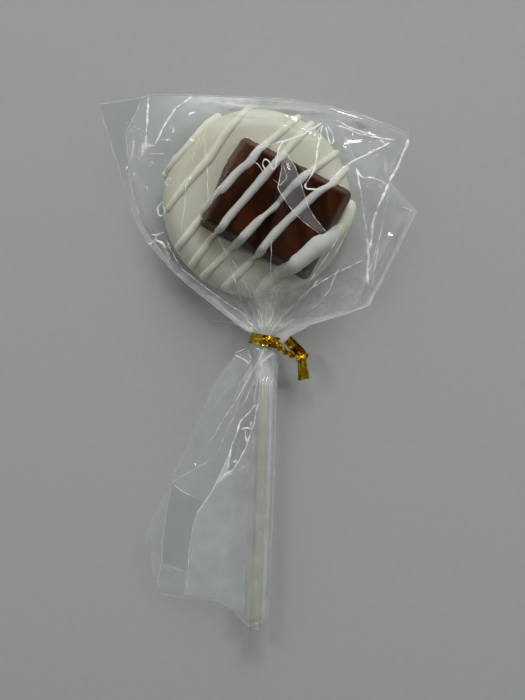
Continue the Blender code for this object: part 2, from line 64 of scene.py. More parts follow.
# The head's main sizes, the same as the solids have
head = {"radius": 33.25, "thickness": 15.0, "backZ": 1.0}
head["rimRadius"] = head["thickness"] / 2
head["midZ"] = head["backZ"] + head["rimRadius"]
head["topZ"] = head["backZ"] + head["thickness"]
head["flatRadius"] = head["radius"] - head["rimRadius"]

# The point that the pop is looked at from, in mm: straight above x, y, this high over one level
eye = {"x": 1.925, "y": -51.6, "level": 12.0, "height": 588.0}


def report(text):
    print("stage:", text)


def mix(a, b, share):
    return a + (b - a) * share


def ease(low, high, value):  # a smooth step, for numbers and arrays
    share = np.clip((value - low) / (high - low), 0.0, 1.0)
    return share * share * (3 - 2 * share)


def linearColour(text):  # an sRGB hex colour as linear red, green, blue, alpha
    parts = [int(text[k:k + 2], 16) / 255 for k in (0, 2, 4)]
    return (*[c / 12.92 if c <= 0.04045 else ((c + 0.055) / 1.055) ** 2.4 for c in parts], 1.0)


def addNode(tree, kind, settings=None, links=None):  # one node with its settings and its links
    made = tree.nodes.new(kind)
    for key, value in (settings or {}).items():
        if isinstance(key, int) or key in made.inputs:
            made.inputs[key].default_value = value
        else:
            setattr(made, key, value)
    for key, socket in (links or {}).items():
        tree.links.new(socket, made.inputs[key])
    return made


def startMaterial(name):  # an empty material with its output and object coordinates
    made = bpy.data.materials.new(name)
    made.use_nodes = True
    made.node_tree.nodes.clear()
    tree = made.node_tree
    place = addNode(tree, "ShaderNodeTexCoord").outputs["Object"]
    return made, tree, place, addNode(tree, "ShaderNodeOutputMaterial")


def getCoordinates(mesh):
    flat = np.empty(len(mesh.vertices) * 3, np.float32)
    mesh.vertices.foreach_get("co", flat)
    return flat.reshape(-1, 3).astype(float)


def setCoordinates(mesh, points):
    mesh.vertices.foreach_set("co", np.asarray(points, np.float32).ravel())
    mesh.update()


def noiseAt(points, size, seed):  # smooth noise from -1 to 1 with bumps of one size in mm
    shift = Vector((seed * 17.3, seed * 5.1, seed * 9.7))
    return np.array([noise.noise(Vector(p) / size + shift) for p in points])


def asBuilt(x, y, z):  # where a point is that is seen at x, y and lies at height z
    share = 1 - (z - eye["level"]) / eye["height"]
    return eye["x"] + (x - eye["x"]) * share, eye["y"] + (y - eye["y"]) * share


def asSeen(x, y, z):
    share = 1 - (z - eye["level"]) / eye["height"]
    return eye["x"] + (x - eye["x"]) / share, eye["y"] + (y - eye["y"]) / share


def paintShare(mesh, name, values):  # a share from 0 to 1 for each point, for the material
    layer = mesh.attributes.new(name, "FLOAT", "POINT")
    layer.data.foreach_set("value", np.asarray(values, np.float32))


def takeMesh(bm, name):
    mesh = bpy.data.meshes.new(name)
    bm.to_mesh(mesh)
    bm.free()
    return mesh


def gridMesh(name, columns, rows):  # a flat grid to be bent, and its points, from -0.5 to 0.5
    bm = bmesh.new()
    bmesh.ops.create_grid(bm, x_segments=columns, y_segments=rows, size=0.5)
    mesh = takeMesh(bm, name)
    return mesh, getCoordinates(mesh)


def finishPiece(bm, name, material, nodes, smoothAngle=None):
    return finishMesh(takeMesh(bm, name), name, material, nodes, smoothAngle)


def finishMesh(mesh, name, material, nodes, smoothAngle=None):
    setCoordinates(mesh, getCoordinates(mesh) * millimetre)
    mesh.shade_smooth()
    if smoothAngle:
        mesh.set_sharp_from_angle(angle=math.radians(smoothAngle))
    mesh.materials.append(material)
    made = bpy.data.objects.new(name, mesh)
    bpy.context.scene.collection.objects.link(made)
    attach(made, body)
    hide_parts(*nodes)
    return made


def lengthsAlong(points):  # the way gone at each point of a line
    return np.concatenate([[0], np.cumsum(np.linalg.norm(np.diff(points, axis=0), axis=1))])


def evenPoints(points, step, fewest):  # evenly spaced points on a line
    gone = lengthsAlong(points)
    at = np.linspace(0, gone[-1], max(int(round(gone[-1] / step)), fewest) + 1)
    return np.stack([np.interp(at, gone, points[:, k]) for k in range(points.shape[1])], axis=1)


def soften(values, rounds):  # eases the bends of a row of values, whose ends stay
    for _ in range(rounds):
        values[1:-1] = (values[:-2] + 2 * values[1:-1] + values[2:]) / 4


def straightLine(points, step):  # even points on straight runs, their corners just eased
    line = evenPoints(np.array([tuple(p) for p in points], float), step, 3)
    soften(line, 1)
    return line


def smoothLine(points, step):  # even points on a smooth curve through the given ones
    points = [Vector(p) for p in points]
    ends = [2 * points[0] - points[1], *points, 2 * points[-1] - points[-2]]
    fine = []
    for a, b, c, d in zip(ends, ends[1:], ends[2:], ends[3:]):
        for k in range(16):
            t = k / 16
            curve = 2 * b + (c - a) * t + (2 * a - 5 * b + 4 * c - d) * t**2 + (3 * b - a - 3 * c + d) * t**3
            fine.append(curve * 0.5)
    fine.append(points[-1])
    return evenPoints(np.array([tuple(p) for p in fine]), step, 2)


def lineFrame(centres):  # the directions ahead, level to the side and upwards, at each point of a line
    ahead = np.gradient(centres, axis=0)
    ahead /= np.linalg.norm(ahead, axis=1)[:, None]
    across = np.stack([ahead[:, 1], -ahead[:, 0], np.zeros(len(centres))], axis=1)
    across /= np.linalg.norm(across, axis=1)[:, None]
    return ahead, across, np.cross(across, ahead)


def lineX(y, points):  # where a line that runs down through the points is at y
    return np.interp(-y, [-point[1] for point in points], [point[0] for point in points])


def lineY(x, points):  # where a line that runs rightwards through the points is at x
    return np.interp(x, [point[0] for point in points], [point[1] for point in points])


# Materials

colours = {
    "coating": "D6D5C4",
    "coatingCloud": "CFCDBB",
    "coatingThin": "A8A384",
    "icing": "ECEAD9",
    # painted shade: the cooler grey white of the icing where it lies on the chocolate
    "icingPaintedShade": "DEE1DD",
    "icingCloud": "F2F1EC",
    "chocolate": "2B1403",
    "chocolateStreak": "4E2607",
    # the paler brown of the sloping sides: wear, and a painted sheen
    "chocolateWearAndSheen": "6C4D38",
    "paper": "CCC9BE",
    "paperPaintedSleeveShade": "A69F91",
    "filmHaze": "EEF2F1",
    "paintedCreaseHighlight": "FBFDFC",
    "foil": "DCBE1C",
    "foilWorn": "B88E12",
    "foilDeep": "8F4E12",
}
linear = {name: linearColour(text) for name, text in colours.items()}


def makeCoatingMaterial():
    # Compound candy coating, dipped and set: a smooth satin ivory with faint cloudy mottling,
    # duller where it thins out on the stick.
    made, tree, place, out = startMaterial("dipped candy coating")
    clouds = addNode(tree, "ShaderNodeTexNoise", {"Scale": 90.0, "Detail": 3.0}, {"Vector": place})
    colour = addNode(
        tree, "ShaderNodeMix",
        {"data_type": "RGBA", 6: linear["coating"], 7: linear["coatingCloud"]},
        {0: clouds.outputs["Fac"]},
    )
    thin = addNode(tree, "ShaderNodeAttribute", {"attribute_name": "thin"})
    colour = addNode(
        tree, "ShaderNodeMix", {"data_type": "RGBA", 7: linear["coatingThin"]},
        {0: thin.outputs["Fac"], 6: colour.outputs[2]},
    )
    fine = addNode(tree, "ShaderNodeTexNoise", {"Scale": 700.0, "Detail": 2.0}, {"Vector": place})
    bump = addNode(
        tree, "ShaderNodeBump", {"Strength": 0.12, "Distance": 0.0004}, {"Height": fine.outputs["Fac"]}
    )
    gloss = addNode(
        tree, "ShaderNodeMapRange", {"To Min": 0.34, "To Max": 0.5}, {"Value": clouds.outputs["Fac"]}
    )
    shader = addNode(
        tree, "ShaderNodeBsdfPrincipled",
        {
            "IOR": 1.45, "Subsurface Weight": 0.12, "Subsurface Radius": (0.9, 0.8, 0.5),
            "Subsurface Scale": 0.001,
        },
        {"Base Color": colour.outputs[2], "Roughness": gloss.outputs[0], "Normal": bump.outputs[0]},
    )
    tree.links.new(shader.outputs[0], out.inputs["Surface"])
    return made


def makeIcingMaterial():
    # Drizzled white compound: nearly the colour of the coat; where it lies on the chocolate a cooler grey
    # white is painted in, as painted shade from the film over it.
    made, tree, place, out = startMaterial("drizzled white icing")
    clouds = addNode(tree, "ShaderNodeTexNoise", {"Scale": 160.0, "Detail": 3.0}, {"Vector": place})
    onChocolate = addNode(tree, "ShaderNodeAttribute", {"attribute_name": "onChocolate"})
    # painted shade: a cooler grey white where the icing lies on the chocolate
    paintedShadeOnChocolate = addNode(
        tree, "ShaderNodeMix",
        {"data_type": "RGBA", 6: linear["icing"], 7: linear["icingPaintedShade"]},
        {0: onChocolate.outputs["Fac"]},
    )
    colour = addNode(
        tree, "ShaderNodeMix", {"data_type": "RGBA", "blend_type": "MULTIPLY", 7: linear["icingCloud"]},
        {0: clouds.outputs["Fac"], 6: paintedShadeOnChocolate.outputs[2]},
    )
    bump = addNode(
        tree, "ShaderNodeBump", {"Strength": 0.1, "Distance": 0.0004}, {"Height": clouds.outputs["Fac"]}
    )
    gloss = addNode(
        tree, "ShaderNodeMapRange", {"To Min": 0.34, "To Max": 0.46}, {"Value": clouds.outputs["Fac"]}
    )
    shader = addNode(
        tree, "ShaderNodeBsdfPrincipled",
        {
            "IOR": 1.45, "Subsurface Weight": 0.1, "Subsurface Radius": (0.8, 0.8, 0.7),
            "Subsurface Scale": 0.0008,
        },
        {"Base Color": colour.outputs[2], "Roughness": gloss.outputs[0], "Normal": bump.outputs[0]},
    )
    tree.links.new(shader.outputs[0], out.inputs["Surface"])
    return made


def makeChocolateMaterial():
    # Moulded milk chocolate: dark satin tops with red-brown streaks, paler on the sloping sides: a little
    # wear and dust, and a painted sheen on the sides that face up towards the lamp.
    made, tree, place, out = startMaterial("moulded milk chocolate")
    turned = addNode(
        tree, "ShaderNodeMapping",
        {"Rotation": (0, 0, math.radians(-bar["turnDeg"])), "Scale": (1.0, 0.3, 1.0)},
        {"Vector": place},
    )
    streaks = addNode(
        tree, "ShaderNodeTexNoise", {"Scale": 190.0, "Detail": 3.0, "Roughness": 0.4, "Distortion": 0.8},
        {"Vector": turned.outputs[0]},
    )
    narrow = addNode(
        tree, "ShaderNodeMapRange", {"From Min": 0.45, "From Max": 0.72}, {"Value": streaks.outputs["Fac"]}
    )
    top = addNode(
        tree, "ShaderNodeMix",
        {"data_type": "RGBA", 6: linear["chocolate"], 7: linear["chocolateStreak"]},
        {0: narrow.outputs[0]},
    )
    # the paler tone on the sloping sides is wear and dust, and a painted sheen on the sides facing the lamp
    wearAndPaintedSheen = addNode(tree, "ShaderNodeAttribute", {"attribute_name": "wearAndPaintedSheen"})
    cloud = addNode(tree, "ShaderNodeTexNoise", {"Scale": 240.0, "Detail": 4.0}, {"Vector": place})
    stronger = addNode(
        tree, "ShaderNodeMapRange", {"From Min": 0.2, "From Max": 0.75}, {"Value": cloud.outputs["Fac"]}
    )
    share = addNode(
        tree, "ShaderNodeMath", {"operation": "MULTIPLY"}, {0: wearAndPaintedSheen.outputs["Fac"], 1: stronger.outputs[0]}
    )
    colour = addNode(
        tree, "ShaderNodeMix", {"data_type": "RGBA", 7: linear["chocolateWearAndSheen"]},
        {0: share.outputs[0], 6: top.outputs[2]},
    )
    bump = addNode(
        tree, "ShaderNodeBump", {"Strength": 0.2, "Distance": 0.0004}, {"Height": cloud.outputs["Fac"]}
    )
    gloss = addNode(tree, "ShaderNodeMapRange", {"To Min": 0.3, "To Max": 0.5}, {"Value": share.outputs[0]})
    shader = addNode(
        tree, "ShaderNodeBsdfPrincipled", {"IOR": 1.42, "Specular IOR Level": 0.2},
        {"Base Color": colour.outputs[2], "Roughness": gloss.outputs[0], "Normal": bump.outputs[0]},
    )
    tree.links.new(shader.outputs[0], out.inputs["Surface"])
    return made


def makePaperMaterial():
    # A rolled paper stick: matt off-white, with darker tan streaks along it that are painted shade and
    # reflection of the film sleeve over it.
    made, tree, place, out = startMaterial("rolled white paper")
    fibres = addNode(tree, "ShaderNodeTexNoise", {"Scale": 1500.0, "Detail": 3.0}, {"Vector": place})
    along = addNode(tree, "ShaderNodeMapping", {"Scale": (1.0, 0.03, 1.0)}, {"Vector": place})
    # painted shade and reflection: tan streaks that run along the stick
    paintedSleeveStreaks = addNode(tree, "ShaderNodeTexNoise", {"Scale": 620.0, "Detail": 2.0}, {"Vector": along.outputs[0]})
    colour = addNode(
        tree, "ShaderNodeMix",
        {"data_type": "RGBA", 6: linear["paper"], 7: linear["paperPaintedSleeveShade"]},
        {0: paintedSleeveStreaks.outputs["Fac"]},
    )
    bump = addNode(
        tree, "ShaderNodeBump", {"Strength": 0.2, "Distance": 0.0002}, {"Height": fibres.outputs["Fac"]}
    )
    shader = addNode(
        tree, "ShaderNodeBsdfPrincipled", {"Roughness": 0.75},
        {"Base Color": colour.outputs[2], "Normal": bump.outputs[0]},
    )
    tree.links.new(shader.outputs[0], out.inputs["Surface"])
    return made


def makeFilmMaterial():
    # Clear polypropylene film, cast and glossy: it shows what is behind it, with crisp reflections.
    # Both faces of a sheet reflect, so the mirror share is nearly doubled by the shine attribute,
    # and finely crushed places scatter some light, which the haze attribute gives.
    made, tree, place, out = startMaterial("clear polypropylene film")
    fresnel = addNode(tree, "ShaderNodeFresnel", {"IOR": 1.49})
    shine = addNode(tree, "ShaderNodeAttribute", {"attribute_name": "shine"})
    doubled = addNode(
        tree, "ShaderNodeMath", {"operation": "MULTIPLY", "use_clamp": True},
        {0: fresnel.outputs[0], 1: shine.outputs["Fac"]},
    )
    clear = addNode(tree, "ShaderNodeBsdfTransparent", {"Color": (0.955, 0.962, 0.958, 1.0)})
    mirror = addNode(
        tree, "ShaderNodeBsdfPrincipled",
        {"Base Color": (1.0, 1.0, 1.0, 1.0), "Metallic": 1.0, "Roughness": 0.07},
    )
    sheet = addNode(
        tree, "ShaderNodeMixShader", {}, {0: doubled.outputs[0], 1: clear.outputs[0], 2: mirror.outputs[0]}
    )
    streaks = addNode(tree, "ShaderNodeTexNoise", {"Scale": 220.0, "Detail": 3.0}, {"Vector": place})
    haze = addNode(tree, "ShaderNodeAttribute", {"attribute_name": "haze"})
    uneven = addNode(
        tree, "ShaderNodeMapRange", {"To Min": 0.4, "To Max": 1.6}, {"Value": streaks.outputs["Fac"]}
    )
    share = addNode(
        tree, "ShaderNodeMath", {"operation": "MULTIPLY", "use_clamp": True},
        {0: haze.outputs["Fac"], 1: uneven.outputs[0]},
    )
    scatter = addNode(
        tree, "ShaderNodeBsdfPrincipled", {"Base Color": linear["filmHaze"], "Roughness": 0.4}
    )
    both = addNode(
        tree, "ShaderNodeMixShader", {}, {0: share.outputs[0], 1: sheet.outputs[0], 2: scatter.outputs[0]}
    )
    tree.links.new(both.outputs[0], out.inputs["Surface"])
    return made


def makeCreaseMaterial():
    # The same film folded sharp, shown as a bright glossy line: its white colour is a painted highlight, and
    # its coat adds real gloss.
    made, tree, place, out = startMaterial("creased polypropylene film")
    # painted highlight: how white each crease line is
    white = addNode(tree, "ShaderNodeAttribute", {"attribute_name": "white"})
    clear = addNode(tree, "ShaderNodeBsdfTransparent")
    glossy = addNode(
        tree, "ShaderNodeBsdfPrincipled",
        {
            "Base Color": linear["paintedCreaseHighlight"], "Roughness": 0.22, "IOR": 1.49,
            "Coat Weight": 1.0, "Coat Roughness": 0.06,
        },
    )
    both = addNode(
        tree, "ShaderNodeMixShader", {}, {0: white.outputs["Fac"], 1: clear.outputs[0], 2: glossy.outputs[0]}
    )
    tree.links.new(both.outputs[0], out.inputs["Surface"])
    return made


def makeFoilMaterial():
    # Gold metallised foil on a wire: mirror bright, yellow, with fine crushed wrinkles.
    made, tree, place, out = startMaterial("gold metallised foil")
    crush = addNode(tree, "ShaderNodeTexNoise", {"Scale": 650.0, "Detail": 2.0}, {"Vector": place})
    bump = addNode(
        tree, "ShaderNodeBump", {"Strength": 0.25, "Distance": 0.0004}, {"Height": crush.outputs["Fac"]}
    )
    toneShift = addNode(tree, "ShaderNodeTexNoise", {"Scale": 350.0, "Detail": 2.0}, {"Vector": place})
    colour = addNode(
        tree, "ShaderNodeMix",
        {"data_type": "RGBA", 6: linear["foil"], 7: linear["foilWorn"]},
        {0: toneShift.outputs["Fac"]},
    )
    deep = addNode(tree, "ShaderNodeTexNoise", {"Scale": 260.0, "Detail": 1.0}, {"Vector": place})
    deepShare = addNode(
        tree, "ShaderNodeMapRange", {"From Min": 0.56, "From Max": 0.68}, {"Value": deep.outputs["Fac"]}
    )
    colour = addNode(
        tree, "ShaderNodeMix", {"data_type": "RGBA", 7: linear["foilDeep"]},
        {0: deepShare.outputs[0], 6: colour.outputs[2]},
    )
    shader = addNode(
        tree, "ShaderNodeBsdfPrincipled", {"Metallic": 1.0, "Roughness": 0.2},
        {"Base Color": colour.outputs[2], "Normal": bump.outputs[0]},
    )
    tree.links.new(shader.outputs[0], out.inputs["Surface"])
    return made


# The cake and its coating

cake = {
    "turnSteps": 220,
    "arcSteps": 26,
    "rings": 14,
    "rimWave": 0.35,
    "unevenness": 0.22,
    "collarRadius": 3.3,
    "collarStart": 4.5,  # how far in from the cake's edge it starts
    "collarEndY": -43.6,
    "collarUnevenness": 0.35,
    "collarFlare": 1.3,  # how much wider it is where it leaves the cake, and over which share of it
    "collarFlareReach": 0.3,
    "collarTaper": 0.08,
    "collarThinning": 1.6,  # how fast the coating thins out down the stick, after its thick start
    "collarThickStart": 0.35,
}

stick = {"radius": 2.0, "length": 152.4, "tip": (-0.6, -150.3), "leanDeg": 2.0, "sides": 48, "bore": 0.7}


def stickAxisX(y):
    return stick["tip"][0] + (y - stick["tip"][1]) * math.tan(math.radians(stick["leanDeg"]))


def cakeTop(x, y):  # height of the cake's upper face, for arrays
    out = np.clip(np.hypot(x, y) - head["flatRadius"], 0.0, head["rimRadius"] * 0.999)
    return head["midZ"] + np.sqrt(head["rimRadius"] ** 2 - out**2)


def makeCake(material):
    profile = []
    for k in range(cake["rings"]):
        profile.append((head["flatRadius"] * k / cake["rings"], head["topZ"]))
    for k in range(2 * cake["arcSteps"] + 1):
        turn = math.pi / 2 - math.pi * k / (2 * cake["arcSteps"])
        out = head["flatRadius"] + head["rimRadius"] * math.cos(turn)
        profile.append((out, head["midZ"] + head["rimRadius"] * math.sin(turn)))
    for k in range(cake["rings"] - 1, -1, -1):
        profile.append((head["flatRadius"] * k / cake["rings"], head["backZ"]))
    bm = bmesh.new()
    line = [bm.verts.new((out, 0, up)) for out, up in profile]
    edges = [bm.edges.new(pair) for pair in zip(line, line[1:])]
    bmesh.ops.spin(
        bm, geom=line + edges, cent=(0, 0, 0), axis=(0, 0, 1), angle=math.tau, steps=cake["turnSteps"],
        use_merge=True,
    )
    bmesh.ops.remove_doubles(bm, verts=bm.verts, dist=0.001)
    bmesh.ops.recalc_face_normals(bm, faces=bm.faces)
    mesh = takeMesh(bm, "candyCoating")
    points = getCoordinates(mesh)
    radius = np.hypot(points[:, 0], points[:, 1])
    turn = np.arctan2(points[:, 1], points[:, 0])
    wave = np.sin(3 * turn + 0.6) * 0.6 + np.sin(5 * turn + 2.0) * 0.4
    outer = np.clip((radius - head["flatRadius"]) / head["rimRadius"], 0, 1)
    grow = 1 - cake["rimWave"] * (0.5 + 0.5 * wave) * outer / np.maximum(radius, 1)
    points[:, 0] *= grow
    points[:, 1] *= grow
    soft = noiseAt(points, 13.0, 1) * 0.6 + noiseAt(points, 5.0, 2) * 0.4
    upper = ease(head["midZ"] - 2, head["midZ"] + 3, points[:, 2])
    points[:, 2] += soft * cake["unevenness"] * upper
    points[:, :2] *= 1 + (soft * cake["unevenness"] * outer / np.maximum(radius, 1))[:, None] * 0.6
    setCoordinates(mesh, points)
    return finishMesh(mesh, "candyCoating", material, ["coated_cake"])


def makeCollar(material):  # the coating that ran down the stick, lumpy and thinning
    start = -head["radius"] + cake["collarStart"]
    length = start - cake["collarEndY"]
    bm = bmesh.new()
    bmesh.ops.create_cone(
        bm, cap_ends=True, segments=40, radius1=cake["collarRadius"], radius2=cake["collarRadius"],
        depth=length,
    )
    sides = [e for e in bm.edges if abs(e.verts[0].co.z - e.verts[1].co.z) > 1]
    bmesh.ops.subdivide_edges(bm, edges=sides, cuts=22, use_grid_fill=True)
    turn = Matrix.Rotation(math.radians(90), 4, "X")
    bmesh.ops.transform(bm, matrix=turn, verts=bm.verts)
    thin = bm.verts.layers.float.new("thin")
    for vert in bm.verts:
        y = vert.co.y + (start + cake["collarEndY"]) / 2
        down = (start - y) / length
        lump = noise.noise(Vector((vert.co.x, y, vert.co.z)) * 0.35) * cake["collarUnevenness"]
        flare = 1 + cake["collarFlare"] * math.exp(-((down / cake["collarFlareReach"]) ** 2))
        flare += lump - cake["collarTaper"] * down
        patch = 0.5 + 0.5 * noise.noise(Vector((vert.co.x, y, vert.co.z)) * 0.9)
        thinness = down * cake["collarThinning"] - cake["collarThickStart"]
        vert[thin] = min(1.0, max(0.0, thinness)) * (0.55 + 0.45 * patch)
        vert.co = Vector((stickAxisX(y) + vert.co.x * flare, y, head["midZ"] + vert.co.z * flare))
    bmesh.ops.recalc_face_normals(bm, faces=bm.faces)
    return finishPiece(bm, "coatingCollar", material, ["coated_cake"], 50)


# The chocolate fingers

bar = {
    "centre": (6.5, -2.6),
    "turnDeg": -27.5,
    "across": 43.0,
    "along": 34.8,
    "height": 9.6,
    "baseZ": head["topZ"] + 0.3,
    "foot": 2.2,
    "draft": 2.8,
    "grooveFloor": 3.4,
    "grooveDraft": 3.0,
    "cell": 0.34,
    "cornerRadius": 2.5,
    "bulge": (1.2, 5.0, 7.0),  # the left side swells: how far, where along, how long
    "softness": 1.15,
    "crown": 0.012,  # how much the fingers' tops are rounded
    # rough, crumbled places on the rim: across, along, reach
    "chips": ((-21.0, 2.5, 3.2), (-20.8, 6.0, 2.0), (7.5, 17.2, 2.6), (1.0, 17.0, 1.6)),
    # how pale the sloping sides are: a little wear everywhere, and a painted sheen on the upper, left and
    # upper right sides, which face the lamp
    "toneShift": {"everywhere": 0.08, "upper": 0.55, "left": 0.6, "upperRight": 0.8},
    "dust": 0.6,
    "dustAt": (-19.0, 10.0),
    "dustReach": (5.0, 8.0),
}


def barLocal(x, y):
    turn = math.radians(bar["turnDeg"])
    dx, dy = x - bar["centre"][0], y - bar["centre"][1]
    return dx * math.cos(turn) + dy * math.sin(turn), -dx * math.sin(turn) + dy * math.cos(turn)


def softMin(a, b, softness):  # the lower of two heights with the corner rounded
    share = np.clip(0.5 + 0.5 * (b - a) / softness, 0, 1)
    return b + (a - b) * share - softness * share * (1 - share)


def barInside(across, along):  # distance inwards from the rim, which has rounded corners
    outAcross = np.abs(across) - bar["across"] / 2 + bar["cornerRadius"]
    outAlong = np.abs(along) - bar["along"] / 2 + bar["cornerRadius"]
    beyond = np.hypot(np.maximum(outAcross, 0), np.maximum(outAlong, 0))
    return bar["cornerRadius"] - beyond - np.minimum(np.maximum(outAcross, outAlong), 0)


def barRiseLocal(across, along, softness):  # surface height over the base
    slope = (bar["height"] - bar["foot"]) / bar["draft"]
    outside = bar["foot"] + slope * barInside(across, along)
    grooveSlope = (bar["height"] - bar["grooveFloor"]) * np.hypot(across, 0.5) / bar["grooveDraft"]
    groove = bar["grooveFloor"] + grooveSlope
    flat = bar["height"] - bar["crown"] * (np.abs(across) - bar["across"] / 4) ** 2
    return softMin(softMin(flat, outside, softness), groove, softness)


def barRise(x, y):
    across, along = barLocal(x, y)
    inside = barInside(across, along)
    rise = barRiseLocal(across, along, bar["softness"])
    return np.where(inside >= 0, rise, 0.0)


def makeBar(material):
    bm = bmesh.new()
    columns, rows = round(bar["across"] / bar["cell"]), round(bar["along"] / bar["cell"])
    bmesh.ops.create_grid(bm, x_segments=columns, y_segments=rows, size=0.5)
    bmesh.ops.scale(bm, vec=(bar["across"], bar["along"], 1), verts=bm.verts)
    bmesh.ops.translate(bm, vec=(0, 0, 1), verts=bm.verts)
    rim = [e for e in bm.edges if e.is_boundary]
    walls = bmesh.ops.extrude_edge_only(bm, edges=rim)["geom"]
    bmesh.ops.translate(bm, vec=(0, 0, -1), verts=[v for v in walls if isinstance(v, bmesh.types.BMVert)])
    bmesh.ops.contextual_create(bm, geom=[e for e in walls if isinstance(e, bmesh.types.BMEdge)])
    bmesh.ops.recalc_face_normals(bm, faces=bm.faces)
    mesh = takeMesh(bm, "chocolateFingers")
    points = getCoordinates(mesh)
    top = points[:, 2] > 0.5
    # the square corners of the grid are drawn in to round ones
    cornerX = np.maximum(np.abs(points[:, 0]) - bar["across"] / 2 + bar["cornerRadius"], 0)
    cornerY = np.maximum(np.abs(points[:, 1]) - bar["along"] / 2 + bar["cornerRadius"], 0)
    squeeze = np.maximum(cornerX, cornerY) / np.maximum(np.hypot(cornerX, cornerY), 1e-6)
    squeeze = np.where((cornerX > 0) & (cornerY > 0), 1 - squeeze, 0)
    points[:, 0] -= np.sign(points[:, 0]) * cornerX * squeeze
    points[:, 1] -= np.sign(points[:, 1]) * cornerY * squeeze
    across, along = points[:, 0].copy(), points[:, 1].copy()
    rise = barRiseLocal(across, along, bar["softness"])
    inside = barInside(across, along)
    chips = sum(np.exp(-((across - a) ** 2 + (along - b) ** 2) / reach**2) for a, b, reach in bar["chips"])
    rough = noiseAt(points, 0.9, 3) * 0.55 + noiseAt(points, 0.42, 4) * 0.35
    gentle = noiseAt(points, 7.0, 5) * 0.28 + noiseAt(points, 2.6, 6) * 0.1
    bulge = bar["bulge"][0] * np.exp(-((along - bar["bulge"][1]) / bar["bulge"][2]) ** 2)
    points[:, 0] -= bulge * ease(-bar["across"] / 2 + 6, -bar["across"] / 2, across)
    points[:, 2] = np.where(top, np.maximum(rise, 0.6) + gentle + rough * chips * 1.1, 0.0)
    pull = np.where(inside < 1.6, np.abs(gentle) * 1.4 + np.abs(rough) * chips * 1.4, 0)
    atSide = np.abs(across) / bar["across"] > np.abs(along) / bar["along"]
    points[:, 0] -= np.where(atSide, np.sign(across) * pull, 0)
    points[:, 1] -= np.where(atSide, 0, np.sign(along) * pull)
    turn = math.radians(bar["turnDeg"])
    x = bar["centre"][0] + points[:, 0] * math.cos(turn) - points[:, 1] * math.sin(turn)
    y = bar["centre"][1] + points[:, 0] * math.sin(turn) + points[:, 1] * math.cos(turn)
    setCoordinates(mesh, np.stack([x, y, points[:, 2] + bar["baseZ"]], axis=1))
    slopeShare = ease(bar["height"] - 0.5, bar["height"] - 1.8, rise)
    # paler most along the upper left sides, hardly at the lower right ones: a little wear, and a painted
    # sheen where the sides face the lamp
    toneShift = bar["toneShift"]["everywhere"] + bar["toneShift"]["upper"] * ease(2.0, 14.0, along)
    toneShift = toneShift + bar["toneShift"]["left"] * ease(-9.0, -19.0, across)
    toneShift = toneShift + bar["toneShift"]["upperRight"] * ease(11.0, 18.0, across) * ease(4.0, 12.0, along)
    inGroove = ease(3.2, 1.0, np.abs(across))
    wearAndPaintedSheen = slopeShare * np.clip(toneShift, 0, 1) * (1 - 0.35 * inGroove)
    (dustAcross, dustAlong), (wide, long) = bar["dustAt"], bar["dustReach"]
    wearAndPaintedSheen += bar["dust"] * np.exp(-(((across - dustAcross) / wide) ** 2) - ((along - dustAlong) / long) ** 2)
    paintShare(mesh, "wearAndPaintedSheen", np.clip(wearAndPaintedSheen, 0, 1))
    return finishMesh(mesh, "chocolateFingers", material, ["chocolate_bar_piece"], 40)


# The drizzled icing

drizzle = {
    "radius": 1.6,
    "sink": 0.45,
    "step": 0.5,
    "sides": 20,
    "lines": (
        ((-32.7, 8.6), (-29.0, 14.0), (-23.1, 20.8), (-18.6, 26.2), (-12.6, 31.0)),
        ((-31.6, -3.1), (-25.5, 5.6), (-16.6, 15.7), (-10.6, 24.8), (-2.1, 33.8)),
        ((-28.3, -16.5), (-20.8, -7.0), (-18.0, -2.6), (-14.7, 1.6), (-11.0, 5.8), (-7.4, 10.0),
         (-5.2, 12.1),
         (-2.5, 14.2), (0.7, 18.4), (4.9, 21.7), (9.8, 25.9), (15.2, 30.4)),
        ((-23.4, -22.6), (-15.0, -11.2), (-12.6, -8.9), (-9.5, -4.7), (-4.0, 1.6), (1.4, 7.9), (4.9, 12.1),
         (10.4, 18.2), (19.8, 28.4)),
        ((-19.6, -26.6), (-8.1, -15.2), (-3.9, -11.0), (0.0, -6.8), (4.4, -2.6), (9.3, 1.6),
         (13.0, 5.8), (17.5, 10.0),
         (20.9, 12.4), (28.3, 17.9)),
        ((-12.0, -30.2), (-1.2, -19.6), (1.2, -17.3), (4.4, -13.1), (8.2, -8.9), (12.4, -4.7),
         (19.1, 1.6), (22.6, 4.4),
         (26.2, 6.2), (28.4, 9.0), (31.8, 12.6)),
        ((-0.2, -33.0), (1.6, -30.4), (3.2, -28.2), (6.3, -25.4), (9.8, -23.3), (13.0, -21.6),
         (17.5, -17.8), (22.4, -13.6), (28.0, -9.0),
         (31.7, -4.0), (33.2, 0.6)),
    ),
    "wideRadii": (2.2, 2.3, 2.4, 3.0, 3.6, 3.8, 3.6, 2.8, 1.7),
    # where a line thins, by its number: x, y, share lost, reach
    "waists": {
        3: ((-19.6, -5.4, 0.25, 1.6),),
        4: ((-14.6, -11.0, 0.6, 1.5), (10.6, 17.2, 0.12, 2.0)),
        5: ((-9.0, -16.0, 0.3, 1.5), (2.6, -4.4, 0.36, 3.0), (18.4, 11.0, 0.3, 1.6)),
        6: ((-0.8, -19.2, 0.6, 1.5), (24.4, 5.4, 0.22, 1.6)),
    },
}


def drizzleRadii(number, at, x, y):
    if number == len(drizzle["lines"]):
        knots = drizzle["wideRadii"]
        base = np.interp(at, np.linspace(0, 1, len(knots)), knots)
    else:
        base = drizzle["radius"] * (0.84 + 0.16 * np.sin(np.pi * at))
        base = base * (1 + 0.06 * np.sin(5 * at + number * 2.3))
    for waistX, waistY, lost, reach in drizzle["waists"].get(number, ()):
        base = base * (1 - lost * np.exp(-((x - waistX) ** 2 + (y - waistY) ** 2) / reach**2))
    return base * (1 + 0.05 * np.sin(at * 23 + number * 1.7) + 0.03 * np.sin(at * 47 + number))


